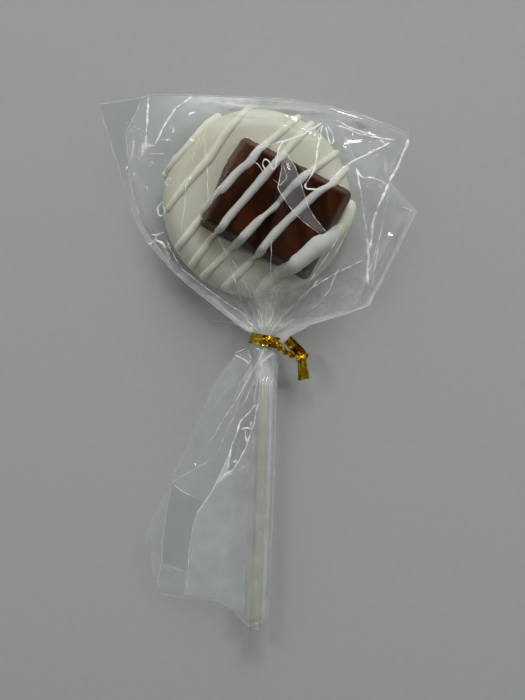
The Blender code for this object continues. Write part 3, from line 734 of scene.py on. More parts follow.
def makeDrizzle(material):
    # Each line is a round rope that follows what it lies on and steps down off the chocolate.
    for number, line in enumerate(drizzle["lines"], 1):
        flat = smoothLine([(*p, 0) for p in line], drizzle["step"])
        last = len(flat) - 1
        at = np.arange(last + 1) / last
        x, y = flat[:, 0], flat[:, 1]
        radii = drizzleRadii(number, at, x, y)
        for _ in range(2):
            onBar = barRise(x, y)
            ground = np.where(onBar > 0, bar["baseZ"] + onBar, cakeTop(x, y))
            smooth = ground.copy()
            soften(smooth, 12)
            x, y = asBuilt(flat[:, 0], flat[:, 1], smooth)
        lies = ground.copy()
        soften(ground, 14 if number == len(drizzle["lines"]) else 4)
        z = ground - drizzle["sink"] - (radii - drizzle["radius"]) * 0.7
        length = at * last * drizzle["step"]
        closing = np.minimum(length, length[-1] - length)
        roundEnd = np.sqrt(np.clip(1 - (1 - np.clip(closing / radii, 0, 1)) ** 2, 0.02, 1))
        centre = np.stack([x, y, z], axis=1)
        _, across, up = lineFrame(centre)
        name = f"icingLine{number}"
        mesh, points = gridMesh(name, drizzle["sides"], last)
        turn = (points[:, 0] + 0.5) * math.tau
        row = np.clip(np.rint((points[:, 1] + 0.5) * last).astype(int), 0, last)
        reach = (radii * roundEnd)[row]
        lumps = np.stack([np.cos(turn), np.sin(turn), np.zeros_like(turn)], axis=1)
        reach *= 1 + 0.05 * noiseAt(centre[row] + lumps, 1.8, 8 + number)
        # where a line leaves the chocolate its underside runs down like a curtain
        deeper = np.clip((z - lies)[row] / reach, 1.0, 3.5)
        rise = np.sin(turn) * reach * np.where(np.sin(turn) < 0, deeper, 1.0)
        beside = np.cos(turn) * reach
        setCoordinates(mesh, centre[row] + across[row] * beside[:, None] + up[row] * rise[:, None])
        # where the icing lies on the chocolate its colour gets the painted shade
        paintShare(mesh, "onChocolate", ease(1.0, 4.0, onBar)[row])
        bm = bmesh.new()
        bm.from_mesh(mesh)
        bmesh.ops.remove_doubles(bm, verts=bm.verts, dist=0.001)
        bmesh.ops.holes_fill(bm, edges=[e for e in bm.edges if e.is_boundary], sides=0)
        bmesh.ops.recalc_face_normals(bm, faces=bm.faces)
        finishPiece(bm, name, material, ["coated_cake", "chocolate_bar_piece"])


# The paper stick


def makeStick(material):
    lean = math.radians(stick["leanDeg"])
    along = Vector((math.sin(lean), math.cos(lean), 0))
    tip = Vector((*stick["tip"], head["midZ"]))
    end = tip + along * stick["length"]
    turn = along.to_track_quat("Z", "Y").to_matrix().to_4x4()
    bm = bmesh.new()
    bmesh.ops.create_cone(
        bm, cap_ends=True, segments=stick["sides"], radius1=stick["radius"], radius2=stick["radius"],
        depth=stick["length"],
    )
    caps = sorted((f for f in bm.faces if len(f.verts) > 4), key=lambda f: f.calc_center_median().z)
    bmesh.ops.inset_individual(bm, faces=[caps[0]], thickness=stick["radius"] - stick["bore"], depth=0)
    bmesh.ops.translate(bm, vec=(0, 0, 0.6), verts=caps[0].verts)
    rims = [e for e in bm.edges if len(e.link_faces) == 2 and e.calc_face_angle(0) > 1.2]
    bmesh.ops.bevel(
        bm, geom=rims, offset=0.18, offset_type="OFFSET", segments=3, profile=0.5, affect="EDGES", material=-1
    )
    bmesh.ops.transform(bm, matrix=Matrix.Translation((tip + end) / 2) @ turn, verts=bm.verts)
    return finishPiece(bm, "paperStick", material, ["paper_stick"], 40)


# The clear bag

bag = {
    "sections": (
        ((-55.6, 34.5), (53.9, 24.0)),
        ((-50.9, 20.0), (48.3, 13.1)),
        ((-48.7, 13.3), (47.6, 6.5)),
        ((-45.2, 2.6), (56.3, -2.3)),
        ((-42.2, -7.2), (52.0, -11.0)),
        ((-38.4, -14.0), (48.0, -19.0)),
        ((-28.5, -25.2), (43.5, -28.0)),
        ((-17.6, -34.2), (39.5, -35.9)),
        ((-11.6, -38.9), (32.6, -38.6)),
        ((-6.6, -42.8), (19.0, -42.7)),
        ((-2.6, -45.4), (11.8, -46.7)),
        ((-2.2, -51.0), (7.6, -51.2)),
        ((-7.9, -53.9), (7.4, -55.4)),
        ((-14.7, -62.6), (6.9, -63.0)),
        ((-28.7, -93.6), (6.0, -93.6)),
        ((-39.9, -118.1), (5.1, -118.0)),
        ((-35.4, -136.7), (3.6, -146.0)),
    ),
    "topEdge": (
        (-55.6, 34.5), (-39.9, 36.9), (-36.8, 38.0), (-22.7, 37.8), (-14.7, 37.5),
        (0.0, 36.9), (11.5, 36.2), (25.5, 33.8), (44.8, 27.8), (53.9, 24.0),
    ),
    "mouthEdge": (
        (-35.4, -136.7), (-24.9, -138.4), (-13.3, -139.5), (-8.4, -143.0), (-2.8, -148.4), (3.6, -146.0),
    ),
    "neckY": -48.5,
    "neckRadius": 4.7,
    "overCake": 2.4,
    "overBar": 2.3,
    "tentSlope": 0.9,
    "tentMargin": 1.6,
    "edgeRun": 6.0,
    "pouchStart": 28.6,
    "nearEdge": 7.0,
    "sleeveRadius": 3.35,
    "sleeveReach": 4.3,
    "skirtHalf": 1.1,
    "skirtDroop": 5.0,
    "edgeHalf": 0.3,
    "edgeRound": 1.3,
    "edgeFade": 24.0,
    "lowest": 0.06,
    "flatStrip": 2.9,
}
bagRows = np.array([[*left, *right] for left, right in bag["sections"]])
bagMiddles = np.stack([(bagRows[:, 0] + bagRows[:, 2]) / 2, (bagRows[:, 1] + bagRows[:, 3]) / 2], axis=1)
bagLengths = lengthsAlong(bagMiddles)


def pouchReach():  # how far the pouch's outline is from the head's centre, by direction
    rows = [row for row in bag["sections"] if row[0][1] > bag["neckY"]]
    outline = [*bag["topEdge"], *[row[1] for row in rows[1:]], *reversed([row[0] for row in rows[1:]])]
    angles = np.linspace(-math.pi, math.pi, 721)
    reach = np.zeros_like(angles)
    rayX, rayY = np.cos(angles), np.sin(angles)
    for (ax, ay), (bx, by) in zip(outline, outline[1:] + outline[:1]):
        ex, ey = bx - ax, by - ay
        cross = rayX * ey - rayY * ex
        cross = np.where(np.abs(cross) < 1e-9, 1e-9, cross)
        far = (ax * ey - ay * ex) / cross
        at = (ax * rayY - ay * rayX) / cross
        hit = (far > 0) & (at >= -1e-6) & (at <= 1 + 1e-6)
        reach = np.where(hit, np.maximum(reach, far), reach)
    return angles, reach


def bagPlan(u, gone):  # where a point of the flat sleeve lies in plan
    total = bagLengths[-1]
    leftX, leftY, rightX, rightY = (np.interp(gone, bagLengths, bagRows[:, k]) for k in range(4))
    width = np.hypot(rightX - leftX, rightY - leftY)
    wide = ease(12.0, 50.0, width)
    share = mix(0.5 - 0.5 * np.cos(np.pi * u), u, wide)
    x = mix(leftX, rightX, share)
    y = mix(leftY, rightY, share)
    for edge, row, near in (
        (bag["topEdge"], bag["sections"][0], np.clip(1 - gone / bag["edgeFade"], 0, 1)),
        (bag["mouthEdge"], bag["sections"][-1], np.clip(1 - (total - gone) / bag["edgeFade"], 0, 1)),
    ):
        y = y + near * (lineY(x, edge) - lineY(x, row))
    return x, y, np.minimum(share, 1 - share) * width


def bagHeights(x, y, angles, reach):  # the film's smooth upper and lower surface
    radius = np.hypot(x, y)
    out = np.interp(np.arctan2(y, x), angles, reach)
    out = out - bag["flatStrip"] * np.exp(-np.maximum(out - head["radius"] - 4, 0) / 8.0)
    start = bag["pouchStart"]
    far = np.clip((radius - start) / np.maximum(out - start, 0.5), 0, 1)
    power = 1.05 + 0.95 * np.exp(-np.maximum(out - head["radius"] - 2, 0) / bag["nearEdge"])
    share = (1 - far**power) ** (1 / power)
    overCake = (head["topZ"] + bag["overCake"] - head["midZ"]) * share
    across, along = barLocal(x, y)
    outAcross = np.maximum(np.abs(across) - bar["across"] / 2 + bar["draft"] - bag["tentMargin"], 0)
    outAlong = np.maximum(np.abs(along) - bar["along"] / 2 + bar["draft"] - bag["tentMargin"], 0)
    overBar = bar["baseZ"] + bar["height"] + bag["overBar"] - head["midZ"]
    overBar = overBar - bag["tentSlope"] * np.hypot(outAcross, outAlong)
    overBar = overBar * np.clip((out - radius) / bag["edgeRun"], 0, 1)
    pouchUp, pouchLow = np.maximum(overCake, overBar), head["midZ"] * share
    axisX = stickAxisX(y)
    neck = np.sqrt(np.maximum(bag["neckRadius"] ** 2 - (x - axisX) ** 2, 0))
    away = axisX - x
    sleeve = np.minimum(np.abs(away) / bag["sleeveReach"], 1)
    skirt = bag["sleeveRadius"] * (1 - sleeve**2.4) ** (1 / 2.4)
    skirt = np.where(away > 0, np.maximum(skirt, bag["skirtHalf"]), skirt)
    droop = bag["skirtDroop"] * ease(2.0, 34.0, away)
    neckShare = ease(32.0, 45.0, -y)
    skirtShare = ease(-bag["neckY"] + 3.2, -bag["neckY"] + 9.0, -y)
    up = mix(mix(pouchUp, neck, neckShare), skirt - droop, skirtShare)
    low = mix(mix(pouchLow, neck, neckShare), skirt + droop, skirtShare)
    return head["midZ"] + up, head["midZ"] - low


def crushedFacets(a, b, cell, seed, span):
    # Flat facets with sharp ridges and valleys, as crushed film has: the difference between the
    # squared distances to the nearest points of two random sets. Slopes are about 1 for a whole cell.
    draw = random.Random(seed)
    lowA, highA, lowB, highB = span
    nearest = []
    for _ in range(2):
        best = np.full_like(a, 1e9)
        count = max(int((highA - lowA) * (highB - lowB) / cell**2), 3)
        for _ in range(count):
            pa, pb = draw.uniform(lowA, highA), draw.uniform(lowB, highB)
            np.minimum(best, (a - pa) ** 2 + (b - pb) ** 2, out=best)
        nearest.append(best)
    return (nearest[0] - nearest[1]) / (2 * cell)


film = {
    # columns and rows of each sheet
    "grids": {
        "filmPouchTop": (290, 220), "filmPouchUnder": (200, 150),
        "filmSkirtTop": (110, 240), "filmSkirtUnder": (90, 200),
    },
    "deepestPouchFacet": -0.9,
    "deepestSkirtFacet": -0.5,
    # flat facets of the crushed film: sizes in mm along it, and heights as shares of a facet's size
    "pouchFacets": {"wide": 17.0, "small": 7.0, "fanHigh": 0.5, "wideHigh": 0.22, "smallHigh": 0.13},
    "skirtFacets": {"wide": 12.0, "small": 5.0, "fanHigh": 0.42, "wideHigh": 0.2, "smallHigh": 0.09},
    # shares of the crushing that are lost over the cake, in the flat corner and over the chocolate
    "cakeCalm": 0.62,
    "earCalm": 0.94,
    "barCalm": 0.8,
    "pouchFanX": 3.0,
    "skirtFanX": 2.9,
    "shine": 1.9,  # both faces of a sheet reflect
    "underShine": 0.5,
    "skirtCalm": 0.5,  # shares of the shine: down the skirt, on the plain left side and on the right
    "leftCalm": 0.12,
    "rightCalm": 1.0,
    # how white the film is, 0 being clear
    "pouchHaze": 0.08,
    "neckHaze": 0.1,
    "upperEdgeHaze": 0.05,
    "lowerEdgeHaze": 0.12,
    "topGlow": 0.3,  # along the closed top, over the cake
    "topHaze": 0.1,
    "nearTopHaze": 0.07,
    "foldHaze": 0.09,
    "foldTopHaze": 0.05,
    "clingHaze": 0.28,  # where the film clings to the collar
    "clingAt": (4.5, -35.5),
    "clingReach": (14.0, 6.5),
    "skirtHaze": 0.08,
    "darkReflectionHaze": 0.03,
    "besideStickHaze": 0.05,
    "overStickHaze": 0.1,
    # left of this crease the pouch is clear
    "earCrease": ((-39.9, 36.6), (-45.9, 24.6), (-44.5, 6.5)),
    # the dark patch of the skirt, up to its folded layer, where less haze paints the dark reflection of a
    # facet
    "patchLeft": ((-30.9, -98.3), (-33.7, -126.8)),
    "patchTop": ((-30.9, -98.3), (-20.9, -104.7)),
    "patchBottom": ((-33.7, -126.8), (-25.2, -129.0)),
    # broad gentle ridges under the sharp creases: x, y to x, y, height, reach
    "ridges": (
        (-38.6, 37.0, -38.9, 20.1, 1.1, 3.4), (-36.0, 19.4, -22.4, 37.6, 1.1, 3.4),
        (-45.9, 24.7, -44.5, 6.5, 0.7, 3.0), (-35.7, -13.1, -38.3, -4.4, 1.0, 2.6),
        (-35.7, -13.1, -28.7, -22.9, 1.0, 2.6), (23.1, 28.2, 8.9, 21.1, 1.2, 3.2),
        (23.1, 28.2, 18.5, 8.1, 1.0, 3.0), (17.2, 4.8, 29.8, 11.9, 0.9, 2.8),
        (29.8, 11.9, 47.0, 21.3, 1.1, 3.0), (27.6, 28.3, 48.5, 21.7, 1.1, 2.8),
        (36.3, 8.9, 45.7, 6.5, 1.1, 2.8), (35.0, 11.6, 38.6, -29.6, 1.3, 3.2),
        (52.3, 19.8, 42.7, -0.8, 1.3, 3.2), (36.9, -20.2, 17.8, -30.7, 1.1, 3.0),
    ),
    # the narrow tilted fold over the chocolate: y, left edge x, right edge x
    "fold": (
        (18.5, 9.0, 10.2), (12.0, 8.6, 13.6), (5.0, 7.4, 15.8),
        (-1.5, 11.4, 18.0), (-6.5, 16.0, 21.0), (-11.0, 22.2, 24.4),
    ),
    "foldHigh": 1.0,
    "foldLow": 0.7,
}


def foldAcross(x, y):  # 0 at the fold's left crease, 1 at its right one
    rows = film["fold"][::-1]
    ys = [row[0] for row in rows]
    left = np.interp(y, ys, [row[1] for row in rows])
    right = np.interp(y, ys, [row[2] for row in rows])
    return (x - left) / np.maximum(right - left, 0.5), left, right, ys


def inFold(x, y):
    across, _, _, ys = foldAcross(x, y)
    ends = ease(ys[0], ys[0] + 2, y) * ease(ys[-1], ys[-1] - 2, y)
    return ease(-0.06, 0.04, across) * ease(1.06, 0.96, across) * ends


def ridgeLift(x, y):
    lift = np.zeros_like(x)
    for x0, y0, x1, y1, height, reach in film["ridges"]:
        dx, dy = x1 - x0, y1 - y0
        at = np.clip(((x - x0) * dx + (y - y0) * dy) / (dx * dx + dy * dy), 0, 1)
        away = np.hypot(x - x0 - at * dx, y - y0 - at * dy)
        lift = np.maximum(lift, height * np.exp(-np.sqrt(away**2 + 0.05) / reach))
    return lift


def foldLift(x, y):  # a strip of film tilted between two creases, easing back on both sides
    across, left, right, ys = foldAcross(x, y)
    high, low = film["foldHigh"], -film["foldLow"]
    lift = mix(high, low, np.clip(across, 0, 1))
    lift = np.where(across < 0, high * np.exp((x - left) / 4.5), lift)
    lift = np.where(across > 1, low * np.exp((right - x) / 3.0), lift)
    return lift * ease(ys[0] - 4, ys[0] + 3, y) * ease(ys[-1] + 3, ys[-1] - 3, y)


def pouchLift(x, y):  # how crushed the pouch's film is, by place, in mm
    facets = film["pouchFacets"]
    fromNeck = np.hypot(x - film["pouchFanX"], y - bag["neckY"])
    turn = np.arctan2(x - film["pouchFanX"], y - bag["neckY"])
    onBar = ease(3.0, -2.5, -barInside(*barLocal(x, y)))
    onCake = ease(37.0, 26.0, np.hypot(x, y))
    ear = ease(-43.0, -47.0, x)
    strength = (1 - film["cakeCalm"] * onCake) * (1 - film["earCalm"] * ear)
    strength = strength * mix(0.8, 1.15, ease(-10, 30, x))
    fan = crushedFacets(turn * 34.0, fromNeck * 0.22, 3.0, 11, (-75, 75, 0, 26))
    wide = crushedFacets(x, y, facets["wide"], 12, (-62, 62, -58, 48))
    small = crushedFacets(x, y, facets["small"], 14, (-62, 62, -58, 48))
    nearNeck = ease(58.0, 10.0, fromNeck)
    lift = fan * facets["fanHigh"] * np.clip(fromNeck / 34.0, 0.12, 1.2) * mix(0.12, 1.0, nearNeck)
    spread = wide * facets["wideHigh"] + small * facets["smallHigh"]
    lift = lift + spread * ease(8.0, 26.0, fromNeck)
    return lift * strength * (1 - film["barCalm"] * onBar)


def skirtLift(x, y, seedShift):
    facets = film["skirtFacets"]
    down = bag["neckY"] - y
    turn = np.arctan2(x - film["skirtFanX"], down)
    fan = crushedFacets(turn * 60.0, down * 0.1, 4.0, 21 + seedShift, (-45, 20, 0, 13))
    wide = crushedFacets(x, y * 0.5, facets["wide"], 23 + seedShift, (-45, 12, -80, -18))
    small = crushedFacets(x, y * 0.5, facets["small"], 24 + seedShift, (-45, 12, -80, -18))
    upper = ease(70.0, 8.0, down)
    lift = fan * facets["fanHigh"] * np.clip(down / 45.0, 0.12, 1.0) * mix(0.35, 1.0, upper)
    return lift + (wide * facets["wideHigh"] + small * facets["smallHigh"]) * ease(4.0, 18.0, down)


def pouchHaze(x, y, fromSide):  # on both sheets of the pouch
    haze = film["pouchHaze"] * ease(-0.8, 0.8, x - lineX(y, film["earCrease"]))
    haze = haze * ease(31.0, 36.0, np.hypot(x, y))
    besideEdge = mix(film["upperEdgeHaze"] * ease(18, -6, y), film["lowerEdgeHaze"], ease(-16, -26, y))
    return haze + film["neckHaze"] * ease(-22, -36, y) + besideEdge * ease(8.0, 3.0, fromSide)


def pouchTopHaze(x, y, gone, seen):  # on the upper sheet alone
    glow = film["topGlow"] * ease(-27, -18, x) * ease(4, -6, x)
    glow = glow + film["topHaze"] * ease(-40, -24, x) * ease(48, 30, x)
    haze = glow * np.exp(-((gone / 3.4) ** 2))
    haze = haze + film["nearTopHaze"] * ease(12.0, 6.0, gone) * ease(-36, -28, x) * ease(30, 16, x)
    haze = haze + (film["foldHaze"] + film["foldTopHaze"] * ease(-6.0, 12.0, y)) * inFold(*seen)
    (clingX, clingY), (wide, long) = film["clingAt"], film["clingReach"]
    return haze + film["clingHaze"] * np.exp(-(((x - clingX) / wide) ** 2) - ((y - clingY) / long) ** 2)


def skirtHaze(x, y):
    # less haze in the dark patch paints the dark reflection of a facet there
    dark = ease(-0.5, 0.5, x - lineX(y, film["patchLeft"])) * ease(0.5, -0.5, y - lineY(x, film["patchTop"]))
    dark = dark * ease(-0.5, 0.5, y - lineY(x, film["patchBottom"]))
    dark = dark * ease(0.6, -0.4, x - lineX(y, skirtFold["edge"]))
    besideStick = x - stickAxisX(y)
    haze = mix(film["skirtHaze"], film["darkReflectionHaze"], dark)
    haze = haze + film["besideStickHaze"] * ease(1.8, 2.6, besideStick)
    return haze + film["overStickHaze"] * ease(-80, -62, y) * ease(4.5, 2.5, np.abs(besideStick))


def topShine(x, y, inPouch):  # the plain film on the left and down the skirt catches fewer lights
    calm = mix(film["leftCalm"], film["rightCalm"], ease(-34, -8, x)) if inPouch else film["skirtCalm"]
    calm = calm * (1 - 0.8 * np.exp(-(((x - 52) / 5) ** 2) - ((y - 2.5) / 4.5) ** 2))
    return film["shine"] * calm * (1 - 0.5 * ease(6.0, 1.0, -barInside(*barLocal(x, y))))


def sheetMesh(name, columns, rows):
    mesh, points = gridMesh(name, columns, rows)
    return mesh, points[:, 0] + 0.5, 0.5 - points[:, 1]


def makeFilmSheet(name, side, material, goneStart, goneEnd, seedShift=0):
    # One side of the flattened sleeve, from one length along it to another.
    mesh, u, v = sheetMesh(name, *film["grids"][name])
    gone = mix(goneStart, goneEnd, v)
    x, y, fromSide = bagPlan(u, gone)
    upper, lower = bagHeights(x, y, *outlineReach)
    middle = (upper + lower) / 2
    half = np.maximum((upper - lower) / 2, bag["edgeHalf"])
    fromEdge = np.minimum(fromSide, gone)
    rounding = np.sqrt(1 - (1 - np.clip(fromEdge / bag["edgeRound"], 0, 1)) ** 2)
    inner = ease(0.4, 5.0, fromEdge)
    # fine pleats run along the film and whiten where they draw together at the neck
    pleats = noiseAt(np.stack([u * 64.0, gone * 0.07, np.full_like(u, side)], axis=1), 1.0, 3 + seedShift)
    gathered = np.exp(-np.abs(y - bag["neckY"]) / 9.0) * (0.14 + 0.2 * ease(0.0, 0.5, pleats))
    if goneStart == 0:
        if side > 0:
            seen = asSeen(x, y, upper)
            lift = pouchLift(x, y) + ridgeLift(*seen) * ease(0.0, 1.5, fromEdge) + foldLift(*seen)
        else:
            lift = pouchLift(x + 7.0, y - 5.0) * mix(0.2, 1.0, ease(24.0, 31.0, np.hypot(x, y)))
        lift = np.maximum(lift, film["deepestPouchFacet"])
        haze = gathered + pouchHaze(x, y, fromSide)
        if side > 0:
            haze = haze + pouchTopHaze(x, y, gone, seen)
    else:
        lift = np.maximum(skirtLift(x, y, seedShift), film["deepestSkirtFacet"])
        haze = gathered + skirtHaze(x, y)
    z = np.maximum(middle + side * (half * rounding + lift * inner), bag["lowest"])
    setCoordinates(mesh, np.stack([x, y, z], axis=1))
    paintShare(mesh, "haze", haze)
    shine = topShine(x, y, goneStart == 0) if side > 0 else np.full_like(x, film["underShine"])
    paintShare(mesh, "shine", shine)
    if side < 0:
        mesh.flip_normals()
    made = finishMesh(mesh, name, material, ["clear_bag"])
    made.visible_shadow = False  # so thin a film casts hardly any shadow
    return made


# The skirt's front layer is folded over, and its left edge runs down from the neck
skirtFold = {
    "edge": (
        (1.6, -52.5), (1.2, -60.0), (0.3, -70.3), (-5.9, -76.9), (-9.5, -86.9), (-12.2, -93.6),
         (-14.8, -99.4),
        (-21.7, -109.7), (-23.3, -118.1), (-25.4, -138.6),
    ),
    "rightGap": 1.0,  # how far the layer stays inside the bag's right edge
    "mouthDrop": ((-25.0, 0.0), (-13.0, 1.2), (-3.0, 7.0), (4.0, 6.0)),  # how far its foot hangs lower, by x
    "lift": 1.3,
    "rows": 200,
    "columns": 70,
    # the long opened fold, which is clear, and the whitened wedge at its foot: x and width, by y
    "openTop": -70.3,
    "openBottom": -94.2,
    "openLeft": ((0.4, -70.3), (-5.8, -76.9), (-9.5, -86.9), (-10.3, -94.0)),
    "openRight": ((0.5, -70.3), (-1.2, -77.5), (-4.4, -86.8), (-8.6, -94.2)),
    "wedge": ((0.0, -86.9), (2.1, -93.9), (4.4, -94.4), (0.0, -99.4)),
    "veil": 0.15,
    "veilAtNeck": 0.1,
    "wedgeHaze": 0.42,
    "calm": 0.6,
}


def skirtTop(x, y):
    upper, _ = bagHeights(x, y, *outlineReach)
    return upper + np.maximum(skirtLift(x, y, 0), film["deepestSkirtFacet"])


def makeFoldedLayer(material):
    mesh, u, v = sheetMesh("filmFoldedLayer", skirtFold["columns"], skirtFold["rows"])
    edge = np.array(skirtFold["edge"])
    y = mix(edge[0, 1], edge[-1, 1], v)
    left = lineX(y, edge)
    right = lineX(y, bagRows[:, 2:]) - skirtFold["rightGap"]
    x = mix(left, right, u**1.5)
    y = y - lineY(x, skirtFold["mouthDrop"]) * ease(0.8, 1.0, v)
    gone = (x - left) * ease(0.0, 0.1, v)
    bulge = skirtFold["lift"] * (0.45 + 0.9 * np.exp(-gone / 6.0))
    rounding = np.sqrt(1 - (1 - np.clip((x - left) / 0.8, 0, 1)) ** 2)
    crush = crushedFacets(x + 3.0, y * 0.45, 6.0, 41, (-30, 12, -70, -18)) * 0.16
    crush += crushedFacets(x, y * 0.7, 3.0, 42, (-30, 12, -105, -30)) * 0.1 * ease(-98, -86, y)
    z = skirtTop(x, y) + (bulge + np.maximum(crush, -0.4)) * mix(0.1, 1.0, rounding)
    setCoordinates(mesh, np.stack([x, y, z], axis=1))
    opened = ease(-0.3, 0.3, x - lineX(y, skirtFold["openLeft"]))
    opened = opened * ease(0.3, -0.3, x - lineX(y, skirtFold["openRight"]))
    opened = opened * (y < skirtFold["openTop"]) * (y > skirtFold["openBottom"])
    wedge = lineX(y, skirtFold["wedge"])
    whitened = ease(0.3, -0.3, x - left - wedge) * (wedge > 0)
    veil = skirtFold["veil"] + skirtFold["veilAtNeck"] * np.exp((y - bag["neckY"]) / 8.0)
    paintShare(mesh, "haze", veil * (1 - opened) + skirtFold["wedgeHaze"] * whitened)
    paintShare(mesh, "shine", np.full_like(x, film["shine"] * skirtFold["calm"]))
    made = finishMesh(mesh, "filmFoldedLayer", material, ["clear_bag"])
    made.visible_shadow = False
    return made
